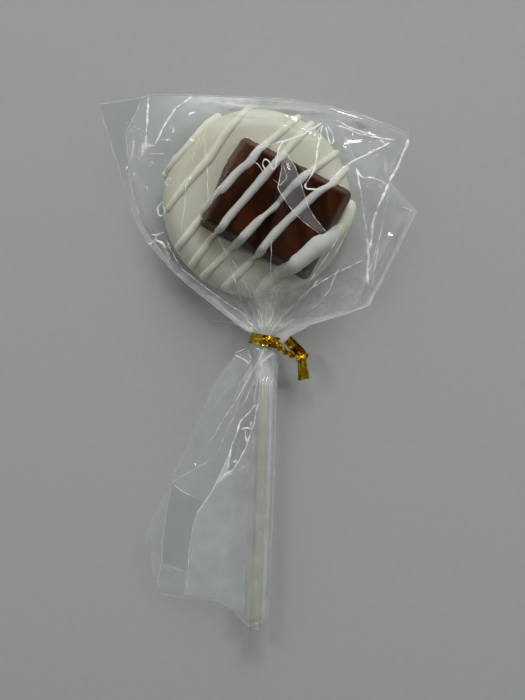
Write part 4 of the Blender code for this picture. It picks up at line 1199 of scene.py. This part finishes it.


# Sharp creases and edges of the film, drawn as thin folded lines on it and painted white as highlights.
# Each is a thickness in mm, a whiteness from 0 to 1 and the points that it passes.
creases = {
    "pouch": (
        (0.34, 1.0, (-37.9, 37.3), (-38.6, 27.6), (-38.9, 20.9), (-37.9, 19.3)),
        (0.32, 1.0, (-36.0, 19.4), (-33.0, 25.8), (-28.9, 32.5), (-22.4, 37.5)),
        (0.12, 0.45, (-38.3, 17.2), (-31.5, 17.0)),
        (0.12, 0.45, (-33.8, 21.7), (-31.1, 23.9)),
        (0.12, 0.35, (-39.9, 36.6), (-45.9, 24.6), (-44.5, 6.5), (-40.3, -6.3)),
        (0.36, 1.0, (-32.6, 0.9), (-34.7, -1.9), (-34.5, -4.5), (-32.9, -4.7), (-32.3, -2.6),
         (-33.2, -0.6)),
        (0.5, 1.0, (-34.4, -9.8), (-35.4, -12.6), (-36.6, -14.6), (-38.3, -14.4)),
        (0.46, 1.0, (-36.0, -12.8), (-32.6, -14.6), (-30.4, -20.2)),
        (0.34, 1.0, (-32.4, -10.2), (-35.3, -11.5), (-37.6, -11.0)),
        (0.14, 0.6, (-33.4, -16.4), (-30.6, -15.0), (-32.0, -12.6)),
        (0.15, 0.6, (-31.5, -14.3), (-26.3, -23.2), (-19.6, -28.5), (-10.6, -35.2), (-2.4, -40.4)),
        (0.12, 0.4, (-37.2, -12.6), (-28.6, -24.2), (-20.6, -30.2), (-12.0, -36.2)),
        (0.12, 0.38, (-19.6, 25.4), (-22.5, 14.9), (-24.8, 5.2), (-26.7, -12.8)),
        (0.12, 0.38, (-18.8, 25.4), (-17.3, 11.2), (-17.2, -0.8)),
        (0.24, 1.0, (22.8, 27.8), (16.4, 23.7), (8.9, 21.1), (7.4, 18.7), (6.5, 12.3), (5.5, 11.2),
         (4.0, 14.6), (2.5, 15.3),
         (1.8, 13.6), (3.6, 10.3)),
        (0.22, 0.95, (23.1, 28.1), (13.4, 22.9), (5.1, 20.2), (-0.1, 18.7), (-2.7, 15.5)),
        (0.14, 0.75, (-2.4, 14.5), (0.3, 13.6), (3.0, 9.3)),
        (0.3, 1.0, (23.1, 28.0), (21.6, 20.9), (20.1, 11.2), (16.6, 5.8), (17.2, 4.8), (22.3, 4.4),
         (25.7, 7.4), (29.8, 11.9),
         (33.6, 14.5), (41.0, 17.9), (47.0, 21.3)),
        (0.32, 1.0, (23.8, 26.9), (25.7, 20.5), (26.8, 20.9), (26.4, 24.3), (24.4, 27.1)),
        (0.33, 1.0, (27.6, 27.3), (35.0, 24.3), (41.0, 22.8), (48.5, 21.7)),
        (0.26, 0.9, (27.2, 29.1), (32.8, 26.1), (41.8, 23.1), (47.4, 18.3)),
        (0.14, 0.55, (28.3, 32.0), (35.0, 31.6), (44.0, 27.6)),
        (0.12, 0.5, (29.1, 26.9), (34.3, 15.3), (34.7, 12.3)),
        (0.4, 1.0, (34.7, 12.3), (36.3, 8.9), (41.0, 8.4), (45.7, 6.3)),
        (0.32, 1.0, (35.0, 11.6), (36.9, -0.8), (38.4, -11.3)),
        (0.48, 1.0, (38.4, -11.3), (39.0, -18.7), (38.6, -29.6)),
        (0.46, 1.0, (53.0, 23.0), (52.3, 19.8), (48.9, 11.9), (46.3, 7.1)),
        (0.52, 1.0, (46.3, 7.1), (42.7, -0.8), (40.7, -6.8), (39.4, -16.5)),
        (0.15, 0.6, (52.6, 20.4), (50.0, 14.6), (48.3, 9.9)),
        (0.13, 0.5, (46.3, 5.9), (45.1, -0.8), (41.8, -18.7), (39.8, -33.6)),
        (0.15, 0.65, (36.9, -20.2), (27.6, -24.7), (17.8, -30.7), (7.6, -41.0)),
        (0.2, 0.9, (29.1, -22.5), (27.6, -24.9), (25.3, -30.7), (20.8, -36.3), (18.6, -37.3)),
        (0.14, 0.6, (22.3, -26.2), (16.4, -33.0), (8.9, -40.1)),
        (0.12, 0.4, (-14.3, -10.5), (-10.6, -18.7), (-6.1, -32.2), (-3.1, -41.0)),
        (0.12, 0.35, (-12.1, -15.0), (-6.1, -24.0), (-1.6, -34.4)),
        (0.12, 0.35, (5.1, -11.3), (4.8, -22.5), (5.1, -37.4)),
        (0.12, 0.35, (31.0, -4.0), (27.4, -14.0), (21.0, -24.0), (14.0, -34.0)),
        (0.12, 0.35, (34.0, 3.0), (32.6, -8.0), (27.0, -19.0)),
        (0.12, 0.4, (44.0, -8.0), (40.8, -20.0), (36.0, -32.0)),
        (0.13, 0.55, (9.0, 18.3), (8.6, 12.0), (7.4, 5.0), (11.4, -1.5), (16.0, -6.5), (22.2, -11.0)),
        (0.13, 0.55, (10.2, 18.0), (13.6, 12.0), (15.8, 5.0), (18.0, -1.5), (21.0, -6.5), (24.4, -10.6)),
        (0.13, 0.5, (9.2, 13.4), (10.4, 8.4), (8.2, 6.0), (5.4, 8.2)),
        # the bag's own edges
        (0.12, 0.4, (-55.5, 34.4), (-39.9, 36.8), (-36.8, 37.9), (-22.7, 37.7), (-14.7, 37.4),
         (0.0, 36.8), (11.5, 36.1),
         (25.5, 33.7), (44.8, 27.7), (53.8, 24.0)),
        (0.11, 0.25, (-55.5, 34.4), (-50.9, 20.0), (-48.7, 13.3), (-45.2, 2.6), (-42.2, -7.2),
         (-38.4, -14.0), (-28.5, -25.2),
         (-17.6, -34.2), (-11.6, -38.9), (-6.6, -42.8), (-2.6, -45.3)),
        (0.12, 0.4, (56.2, -2.3), (52.0, -11.0), (48.0, -19.0), (43.5, -28.0), (39.5, -35.9),
         (32.6, -38.5)),
        (0.14, 0.5, (39.5, -35.7), (32.6, -38.5), (26.1, -40.4), (19.0, -42.6), (11.8, -46.6)),
    ),
    "skirt": (
        (0.14, 0.6, (5.6, -51.8), (1.3, -55.4), (-2.3, -59.7), (-6.6, -68.3), (-12.3, -76.8),
         (-16.6, -84.0)),
        (0.13, 0.5, (2.0, -58.3), (-1.6, -64.7), (-4.4, -69.7), (-10.2, -78.2)),
        (0.26, 1.0, (-8.0, -53.1), (-4.5, -54.9), (-1.9, -57.3)),
        (0.18, 0.8, (-3.0, -50.6), (-8.0, -52.9)),
        (0.14, 0.6, (-3.0, -50.8), (-2.8, -53.1), (-1.6, -55.5)),
        (0.4, 1.0, (2.4, -50.8), (1.5, -54.0), (0.4, -57.3)),
        (0.34, 1.0, (6.2, -52.2), (3.0, -54.9), (0.4, -57.3)),
        (0.5, 1.0, (-0.5, -50.9), (0.5, -51.3), (1.3, -51.9)),
        (0.44, 1.0, (2.2, -50.9), (3.7, -51.9)),
        (0.12, 0.45, (4.8, -60.6), (5.4, -62.4), (4.4, -64.0), (5.2, -65.0)),
        (0.13, 0.45, (-29.8, -98.1), (-21.0, -92.8), (-16.0, -90.0)),
        (0.14, 0.55, (-29.8, -98.1), (-26.4, -101.0), (-21.8, -103.2)),
        (0.11, 0.2, (-29.8, -98.1), (-32.6, -112.8), (-33.7, -127.0), (-35.2, -136.6)),
        (0.11, 0.2, (-33.7, -126.9), (-28.6, -128.0), (-25.0, -129.3)),
        (0.11, 0.14, (-8.0, -54.0), (-14.7, -62.6), (-28.7, -93.6), (-39.8, -118.0)),
        (0.08, 0.06, (-39.8, -118.1), (-35.4, -136.6)),
        (0.11, 0.2, (-35.3, -136.7), (-24.9, -138.3), (-13.3, -139.4), (-8.4, -142.9), (-2.8, -148.2),
         (3.6, -145.9)),
        (0.11, 0.22, (7.4, -56.0), (6.9, -63.0), (6.0, -93.6), (5.1, -118.0), (3.7, -145.8)),
        (0.12, 0.3, (-3.6, -56.6), (-4.2, -64.0), (-8.6, -76.0), (-14.0, -88.0)),
        (0.12, 0.3, (4.2, -57.0), (4.8, -74.0), (4.3, -95.0)),
        (0.14, 0.55, (3.9, -95.0), (5.3, -95.2)),
    ),
    "fold": (
        (0.13, 0.5, (1.6, -53.5), (1.3, -60.0), (0.4, -70.1)),
        (0.28, 1.0, (0.4, -70.1), (-5.8, -76.8), (-9.4, -86.8), (-10.3, -94.0)),
        (0.28, 1.0, (-10.3, -94.0), (-8.6, -94.2), (-4.4, -86.8), (-1.2, -77.5), (0.5, -70.3)),
        (0.5, 1.0, (-1.6, -75.4), (-2.2, -77.6), (-2.0, -79.0)),
        (0.48, 1.0, (-5.6, -79.6), (-4.3, -78.9), (-3.0, -78.9), (-2.0, -79.4)),
        (0.34, 1.0, (-4.3, -79.0), (-3.8, -82.0), (-3.3, -84.4)),
        (0.36, 1.0, (-8.6, -89.6), (-7.4, -90.0), (-7.3, -90.9), (-8.5, -90.6), (-8.6, -89.8)),
        (0.3, 1.0, (-13.2, -97.6), (-10.9, -95.0), (-8.2, -94.2)),
        (0.15, 0.7, (-9.5, -87.0), (-12.2, -93.6), (-14.8, -99.4), (-21.6, -109.7)),
        (0.12, 0.45, (-21.6, -109.7), (-23.2, -118.0), (-25.3, -138.4)),
        (0.12, 0.35, (-10.6, -95.6), (-7.6, -94.4), (-3.0, -91.6)),
    ),
    "step": 0.45,
    "sides": 6,
}

# The fine gathers that fan out from the neck: ranges in mm, radians and shares of white, the painted
# highlight of each line
gathers = {
    "count": 96,
    "seed": 5,
    "start": (3.4, 7.0),
    "bend": (-0.16, 0.16),
    "waver": (-0.03, 0.03),
    "thickness": (0.06, 0.12),
    "middleX": 2.9,
    "spread": 3.6,
    "up": {"turn": (-1.32, 1.32), "length": (5.0, 19.0), "white": (0.12, 0.42), "side": 1},
    "down": {"turn": (-0.62, 0.16), "length": (5.0, 26.0), "white": (0.15, 0.45), "side": -1},
}


def fineCreases():  # up over the pouch and down the skirt
    draw = random.Random(gathers["seed"])
    upper, lower = [], []
    for number in range(gathers["count"]):
        fan = gathers["up"] if number % 3 > 0 else gathers["down"]
        turn = draw.uniform(*fan["turn"])
        start = draw.uniform(*gathers["start"])
        length = draw.uniform(*fan["length"])
        bend = draw.uniform(*gathers["bend"])
        white = draw.uniform(*fan["white"])
        rootX = gathers["middleX"] + (turn / 1.4) * gathers["spread"]
        points = []
        for k in range(4):
            out = length * k / 3
            angle = turn + bend * k / 3 + draw.uniform(*gathers["waver"])
            down = start * 0.75 + math.cos(angle) * out
            points.append((rootX + math.sin(angle) * out, bag["neckY"] + fan["side"] * down))
        kind = upper if fan["side"] > 0 else lower
        kind.append((draw.uniform(*gathers["thickness"]), white, *points))
    return upper, lower


def sheetTree(sheet):  # a film sheet in mm, to find its height
    coordinates = [Vector(p) for p in getCoordinates(sheet.data) / millimetre]
    return BVHTree.FromPolygons(coordinates, [tuple(p.vertices) for p in sheet.data.polygons])


def onSheets(seenX, seenY, trees):  # the point of the topmost sheet that is seen at x, y
    x, y = seenX, seenY
    for _ in range(2):
        heights = []
        for tree in trees:
            hit = tree.ray_cast(Vector((x, y, 60)), Vector((0, 0, -1)))[0]
            if hit is None:
                hit = tree.find_nearest(Vector((x, y, head["midZ"] - 2)))[0]
            heights.append(hit.z)
        x, y = asBuilt(seenX, seenY, max(heights))
    return x, y, max(heights)


def makeCreases(name, lines, sheets, material):
    # A fine tapered ridge along each line, laid on the film below it.
    sides = creases["sides"]
    trees = [sheetTree(sheet) for sheet in sheets]
    bm = bmesh.new()
    layer = bm.verts.layers.float.new("white")
    for number, (thickness, white, *line) in enumerate(lines):
        path = straightLine([(*p, 0) for p in line], creases["step"])
        last = len(path) - 1
        drift = [noise.noise(Vector((k * 0.12, number * 5.3, 7.1))) * 0.35 for k in range(last + 1)]
        path[:, 0] += drift
        path = np.array([onSheets(point[0], point[1], trees) for point in path])
        soften(path[:, 2], 2)
        ahead, across, up = lineFrame(path)
        previous = None
        for k in range(last + 1):
            wobble = noise.noise(Vector((k * 0.27, number * 3.7, 0.5)))
            taper = min(1.0, (min(k, last - k) + 0.6) / 4.0)
            radius = thickness * taper * (1 + 0.7 * wobble)
            centre = Vector(path[k]) + Vector(up[k]) * thickness * 0.2
            turned = Matrix((Vector(across[k]), Vector(up[k]) * 0.8, Vector(ahead[k]))).transposed().to_4x4()
            place = Matrix.Translation(centre) @ turned
            made = bmesh.ops.create_circle(bm, cap_ends=False, segments=sides, radius=radius, matrix=place)
            ring = made["verts"]
            for vert in ring:
                # the whiteness is a painted highlight along the crease
                vert[layer] = white * min(1.0, max(0.15, 0.8 + 0.9 * wobble)) * taper
            if previous:
                for j in range(sides):
                    bm.faces.new((previous[j], previous[(j + 1) % sides], ring[(j + 1) % sides], ring[j]))
            else:
                bm.faces.new(ring[::-1])
            previous = ring
        bm.faces.new(previous)
    bmesh.ops.recalc_face_normals(bm, faces=bm.faces)
    for e in [e for e in bm.edges if not e.link_faces]:
        bm.edges.remove(e)
    made = finishPiece(bm, name, material, ["clear_bag"])
    made.visible_shadow = False


def makeBag(filmMaterial, creaseMaterial):
    neckAt = float(np.interp(-bag["neckY"], -bagMiddles[:, 1], bagLengths))
    total = float(bagLengths[-1])
    pouchTop = makeFilmSheet("filmPouchTop", 1, filmMaterial, 0.0, neckAt)
    makeFilmSheet("filmPouchUnder", -1, filmMaterial, 0.0, neckAt)
    skirtTopSheet = makeFilmSheet("filmSkirtTop", 1, filmMaterial, neckAt, total)
    makeFilmSheet("filmSkirtUnder", -1, filmMaterial, neckAt, total, seedShift=5)
    folded = makeFoldedLayer(filmMaterial)
    report("film sheets")
    upper, lower = fineCreases()
    makeCreases("filmPouchCreases", [*creases["pouch"], *upper], [pouchTop], creaseMaterial)
    makeCreases("filmSkirtCreases", [*creases["skirt"], *lower], [skirtTopSheet], creaseMaterial)
    makeCreases("filmFoldCreases", creases["fold"], [skirtTopSheet, folded], creaseMaterial)


# The gold twist tie

tie = {
    "y": -48.3,
    "tiltDeg": -9.0,
    "innerRadius": 5.1,
    "thickness": 0.5,
    "width": 3.9,
    "twistStart": (8.6, -49.6, 9.6),
    "twist": (
        (4.6, -48.4, 13.9), (7.4, -50.2, 12.4), (10.2, -52.3, 10.6), (13.4, -53.6, 10.0), (16.4, -54.0, 10.0),
    ),
    "knot": (16.4, -54.0, 10.0),
    "turns": 2.6,
    "twistWidths": (3.0, 1.9),
    "twistRadius": 0.55,
    "tailStart": (15.7, -54.4, 10.4),
    "tailEnd": (16.5, -62.0, 8.2),
    "tailWidths": (2.7, 4.3),
    "armStart": (10.6, -47.9, 10.4),
    "armWidth": 3.7,
    "wrapWidth": 1.7,
    "foil": 0.25,
    "wrapFoil": 0.2,
    "pleat": 1.3,
}


def makeRibbon(name, centres, facing, widths, columns, crush, seed, foil, material):
    # A thin strip along a line, its face turned by facing, with crushed facets pressed into it.
    rows = len(centres) - 1
    mesh, points = gridMesh(name, columns, rows)
    row = np.clip(np.rint((points[:, 1] + 0.5) * rows).astype(int), 0, rows)
    ahead = np.gradient(centres, axis=0)
    ahead /= np.linalg.norm(ahead, axis=1)[:, None]
    across = facing - ahead * np.sum(facing * ahead, axis=1)[:, None]
    across /= np.linalg.norm(across, axis=1)[:, None]
    up = np.cross(across, ahead)
    gone = lengthsAlong(centres)
    place = points[:, 0] * np.broadcast_to(widths, rows + 1)[row]
    facets = crushedFacets(place, gone[row] * 0.6, 1.7, seed, (-3, 3, 0, gone[-1] * 0.6 + 1))
    pleats = np.abs((place / tie["pleat"] + 0.3 * np.sin(gone[row] * 0.5)) % 2 - 1) - 0.5
    out = across[row] * place[:, None] + up[row] * (facets * crush + pleats * 0.5)[:, None]
    setCoordinates(mesh, centres[row] + out)
    bm = bmesh.new()
    bm.from_mesh(mesh)
    bmesh.ops.remove_doubles(bm, verts=bm.verts, dist=0.0001)
    bmesh.ops.recalc_face_normals(bm, faces=bm.faces)
    bmesh.ops.solidify(bm, geom=bm.faces[:], thickness=foil)
    bmesh.ops.recalc_face_normals(bm, faces=bm.faces)
    return finishPiece(bm, name, material, ["twist_tie"], 30)


def makeTie(material):
    centre = np.array([stickAxisX(tie["y"]), tie["y"], head["midZ"]])
    lean = math.radians(tie["tiltDeg"] - stick["leanDeg"])
    side = np.array([math.cos(lean), math.sin(lean), 0])
    axis = np.array([-math.sin(lean), math.cos(lean), 0])
    up = np.array([0, 0, 1.0])
    steps = 120
    turns = np.linspace(0, math.tau, steps + 1) - 0.35
    radius = tie["innerRadius"] + tie["thickness"] / 2
    ring = centre + radius * (np.cos(turns)[:, None] * side + np.sin(turns)[:, None] * up)
    facing = np.repeat(axis[None], steps + 1, axis=0)
    makeRibbon("foilBand", ring, facing, tie["width"], 12, 0.5, 31, tie["foil"], material)

    start, knot = np.array(tie["twistStart"]), np.array(tie["knot"])
    line = smoothLine(tie["twist"], 0.2)
    steps = len(line) - 1
    at = np.linspace(0, 1, steps + 1)
    for number in range(2):
        turn = math.tau * tie["turns"] * at + math.pi * number
        apart = tie["twistRadius"]
        offset = np.stack([0.15 * np.sin(turn), np.cos(turn) * apart, np.sin(turn) * apart], axis=1)
        facing = np.stack([np.zeros_like(turn), np.cos(turn + 1.1), np.sin(turn + 1.1)], axis=1)
        widths = mix(*tie["twistWidths"], at)
        name = f"foilTwist{number + 1}"
        makeRibbon(name, line + offset, facing, widths, 8, 0.4, 33 + number, tie["foil"], material)

    along = (knot - start) / np.linalg.norm(knot - start)
    armStart = np.array(tie["armStart"])
    steps = 36
    at = np.linspace(0, 1, steps + 1)
    line = armStart + (knot + along * 0.8 - armStart) * at[:, None]
    line[:, 2] += np.sin(at * np.pi) * 0.5
    facing = np.repeat(np.array([[0.3, 1.0, 0.25]]), steps + 1, axis=0)
    makeRibbon("foilArm", line, facing, tie["armWidth"], 12, 0.5, 37, tie["foil"], material)

    tailStart = np.array(tie["tailStart"])
    tail = smoothLine([tailStart, tailStart + np.array([0.1, -1.4, 0.3]), np.array(tie["tailEnd"])], 0.25)
    at = np.linspace(0, 1, len(tail))
    facing = np.stack([np.ones_like(at), np.full_like(at, 0.1), 0.35 - 0.5 * at], axis=1)
    widths = mix(*tie["tailWidths"], at)
    makeRibbon("foilTail", tail, facing, widths, 12, 0.4, 39, tie["foil"], material)

    # one short wrap holds the two ends together
    turns = np.linspace(0, math.tau, 49)
    wrap = np.stack([np.cos(turns) * 1.9, np.cos(turns) * 0.5, np.sin(turns) * 1.3], axis=1) + tailStart
    facing = np.repeat(np.array([[0.1, 1.0, 0.0]]), len(turns), axis=0)
    makeRibbon("foilWrap", wrap, facing, tie["wrapWidth"], 6, 0.3, 41, tie["wrapFoil"], material)


# The studio

studio = {
    "floorColour": "B5B8B6",
    "floorShade": "AEB1AF",
    "floorSize": 6.0,
    "frameHeight": 245.0,
    "sensor": 36.0,
    "skyColour": "F4F6F7",
    "skyStrength": 0.66,
    # the sky is dark straight above and bright lower down, from one upward share to the other
    "ringShares": (0.96, 0.68),
    "overheadSky": 0.04,
    "nearSky": 0.2,  # how bright it is behind the stick's end, 1 being beyond the cake
    "lampTarget": (0, -0.02, 0.01),
    # azimuth and elevation in degrees, distance, width, height in metres, radiance; the first is soft
    "panels": (
        (78, 33, 2.6, 1.45, 1.45, 3.9),
        (70, 44, 0.9, 0.05, 0.16, 18.0),
        (100, 40, 0.9, 0.05, 0.16, 18.0),
        (20, 46, 0.9, 0.07, 0.22, 16.0),
        (150, 46, 0.9, 0.07, 0.22, 16.0),
    ),
}


def makeFloor():
    made, tree, place, out = startMaterial("matt pale grey card")
    grain = addNode(tree, "ShaderNodeTexNoise", {"Scale": 400.0, "Detail": 3.0}, {"Vector": place})
    colour = addNode(
        tree, "ShaderNodeMix",
        {"data_type": "RGBA", 6: linearColour(studio["floorColour"]), 7: linearColour(studio["floorShade"])},
        {0: grain.outputs["Fac"]},
    )
    shader = addNode(tree, "ShaderNodeBsdfPrincipled", {"Roughness": 0.9}, {"Base Color": colour.outputs[2]})
    tree.links.new(shader.outputs[0], out.inputs["Surface"])
    bm = bmesh.new()
    bmesh.ops.create_grid(bm, x_segments=1, y_segments=1, size=studio["floorSize"] / 2)
    mesh = takeMesh(bm, "studioFloor")
    mesh.materials.append(made)
    floor = bpy.data.objects.new("studioFloor", mesh)
    floor.location.z = -0.0001
    bpy.context.scene.collection.objects.link(floor)


def makeLights():
    scene = bpy.context.scene
    scene.world = bpy.data.worlds.new("softSky")
    scene.world.use_nodes = True
    tree = scene.world.node_tree
    sky = tree.nodes["Background"]
    direction = addNode(tree, "ShaderNodeTexCoord").outputs["Generated"]
    parts = addNode(tree, "ShaderNodeSeparateXYZ", {}, {0: direction})
    dark, bright = studio["ringShares"]
    ring = addNode(
        tree, "ShaderNodeMapRange",
        {
            "interpolation_type": "SMOOTHSTEP", "From Min": dark, "From Max": bright,
            "To Min": studio["overheadSky"], "To Max": 1.0,
        },
        {"Value": parts.outputs["Z"]},
    )
    side = addNode(
        tree, "ShaderNodeMapRange",
        {"From Min": -0.9, "From Max": 0.9, "To Min": studio["nearSky"], "To Max": 1.0},
        {"Value": parts.outputs["Y"]},
    )
    both = addNode(
        tree, "ShaderNodeMath", {"operation": "MULTIPLY"}, {0: ring.outputs[0], 1: side.outputs[0]}
    )
    strength = addNode(
        tree, "ShaderNodeMath", {"operation": "MULTIPLY", 1: studio["skyStrength"]}, {0: both.outputs[0]}
    )
    sky.inputs["Color"].default_value = linearColour(studio["skyColour"])
    tree.links.new(strength.outputs[0], sky.inputs["Strength"])
    target = Vector(studio["lampTarget"])
    for number, (azimuth, elevation, distance, width, height, radiance) in enumerate(studio["panels"]):
        turn, rise = math.radians(azimuth), math.radians(elevation)
        away = Vector((math.cos(turn) * math.cos(rise), math.sin(turn) * math.cos(rise), math.sin(rise)))
        lamp = bpy.data.lights.new(f"panel{number + 1}", "AREA")
        lamp.shape = "RECTANGLE"
        lamp.size, lamp.size_y = width, height
        lamp.energy = radiance * math.pi * width * height
        made = bpy.data.objects.new(lamp.name, lamp)
        made.location = target + away * distance
        made.rotation_euler = away.to_track_quat("Z", "Y").to_euler()
        made.visible_glossy = number > 0  # the wide soft panel leaves no white patches on the film
        scene.collection.objects.link(made)


def makeCamera():
    lens = bpy.data.cameras.new("overhead")
    lens.sensor_width = studio["sensor"]
    lens.lens = studio["sensor"] * eye["height"] / studio["frameHeight"]
    lens.clip_start = 0.01
    made = bpy.data.objects.new("overhead", lens)
    made.location = Vector((eye["x"], eye["y"], eye["level"] + eye["height"])) * millimetre
    bpy.context.scene.collection.objects.link(made)
    bpy.context.scene.camera = made


makeCamera()
makeFloor()
makeLights()
bpy.context.scene.view_settings.view_transform = "Standard"
bpy.context.scene.cycles.transparent_max_bounces = 32
report("camera, floor and lights")

coating, icing = makeCoatingMaterial(), makeIcingMaterial()
makeCake(coating)
makeCollar(coating)
report("coated cake")
makeBar(makeChocolateMaterial())
report("chocolate fingers")
makeDrizzle(icing)
report("drizzled icing")
makeStick(makePaperMaterial())
report("paper stick")
outlineReach = pouchReach()
makeBag(makeFilmMaterial(), makeCreaseMaterial())
report("clear bag")
makeTie(makeFoilMaterial())
report("twist tie")
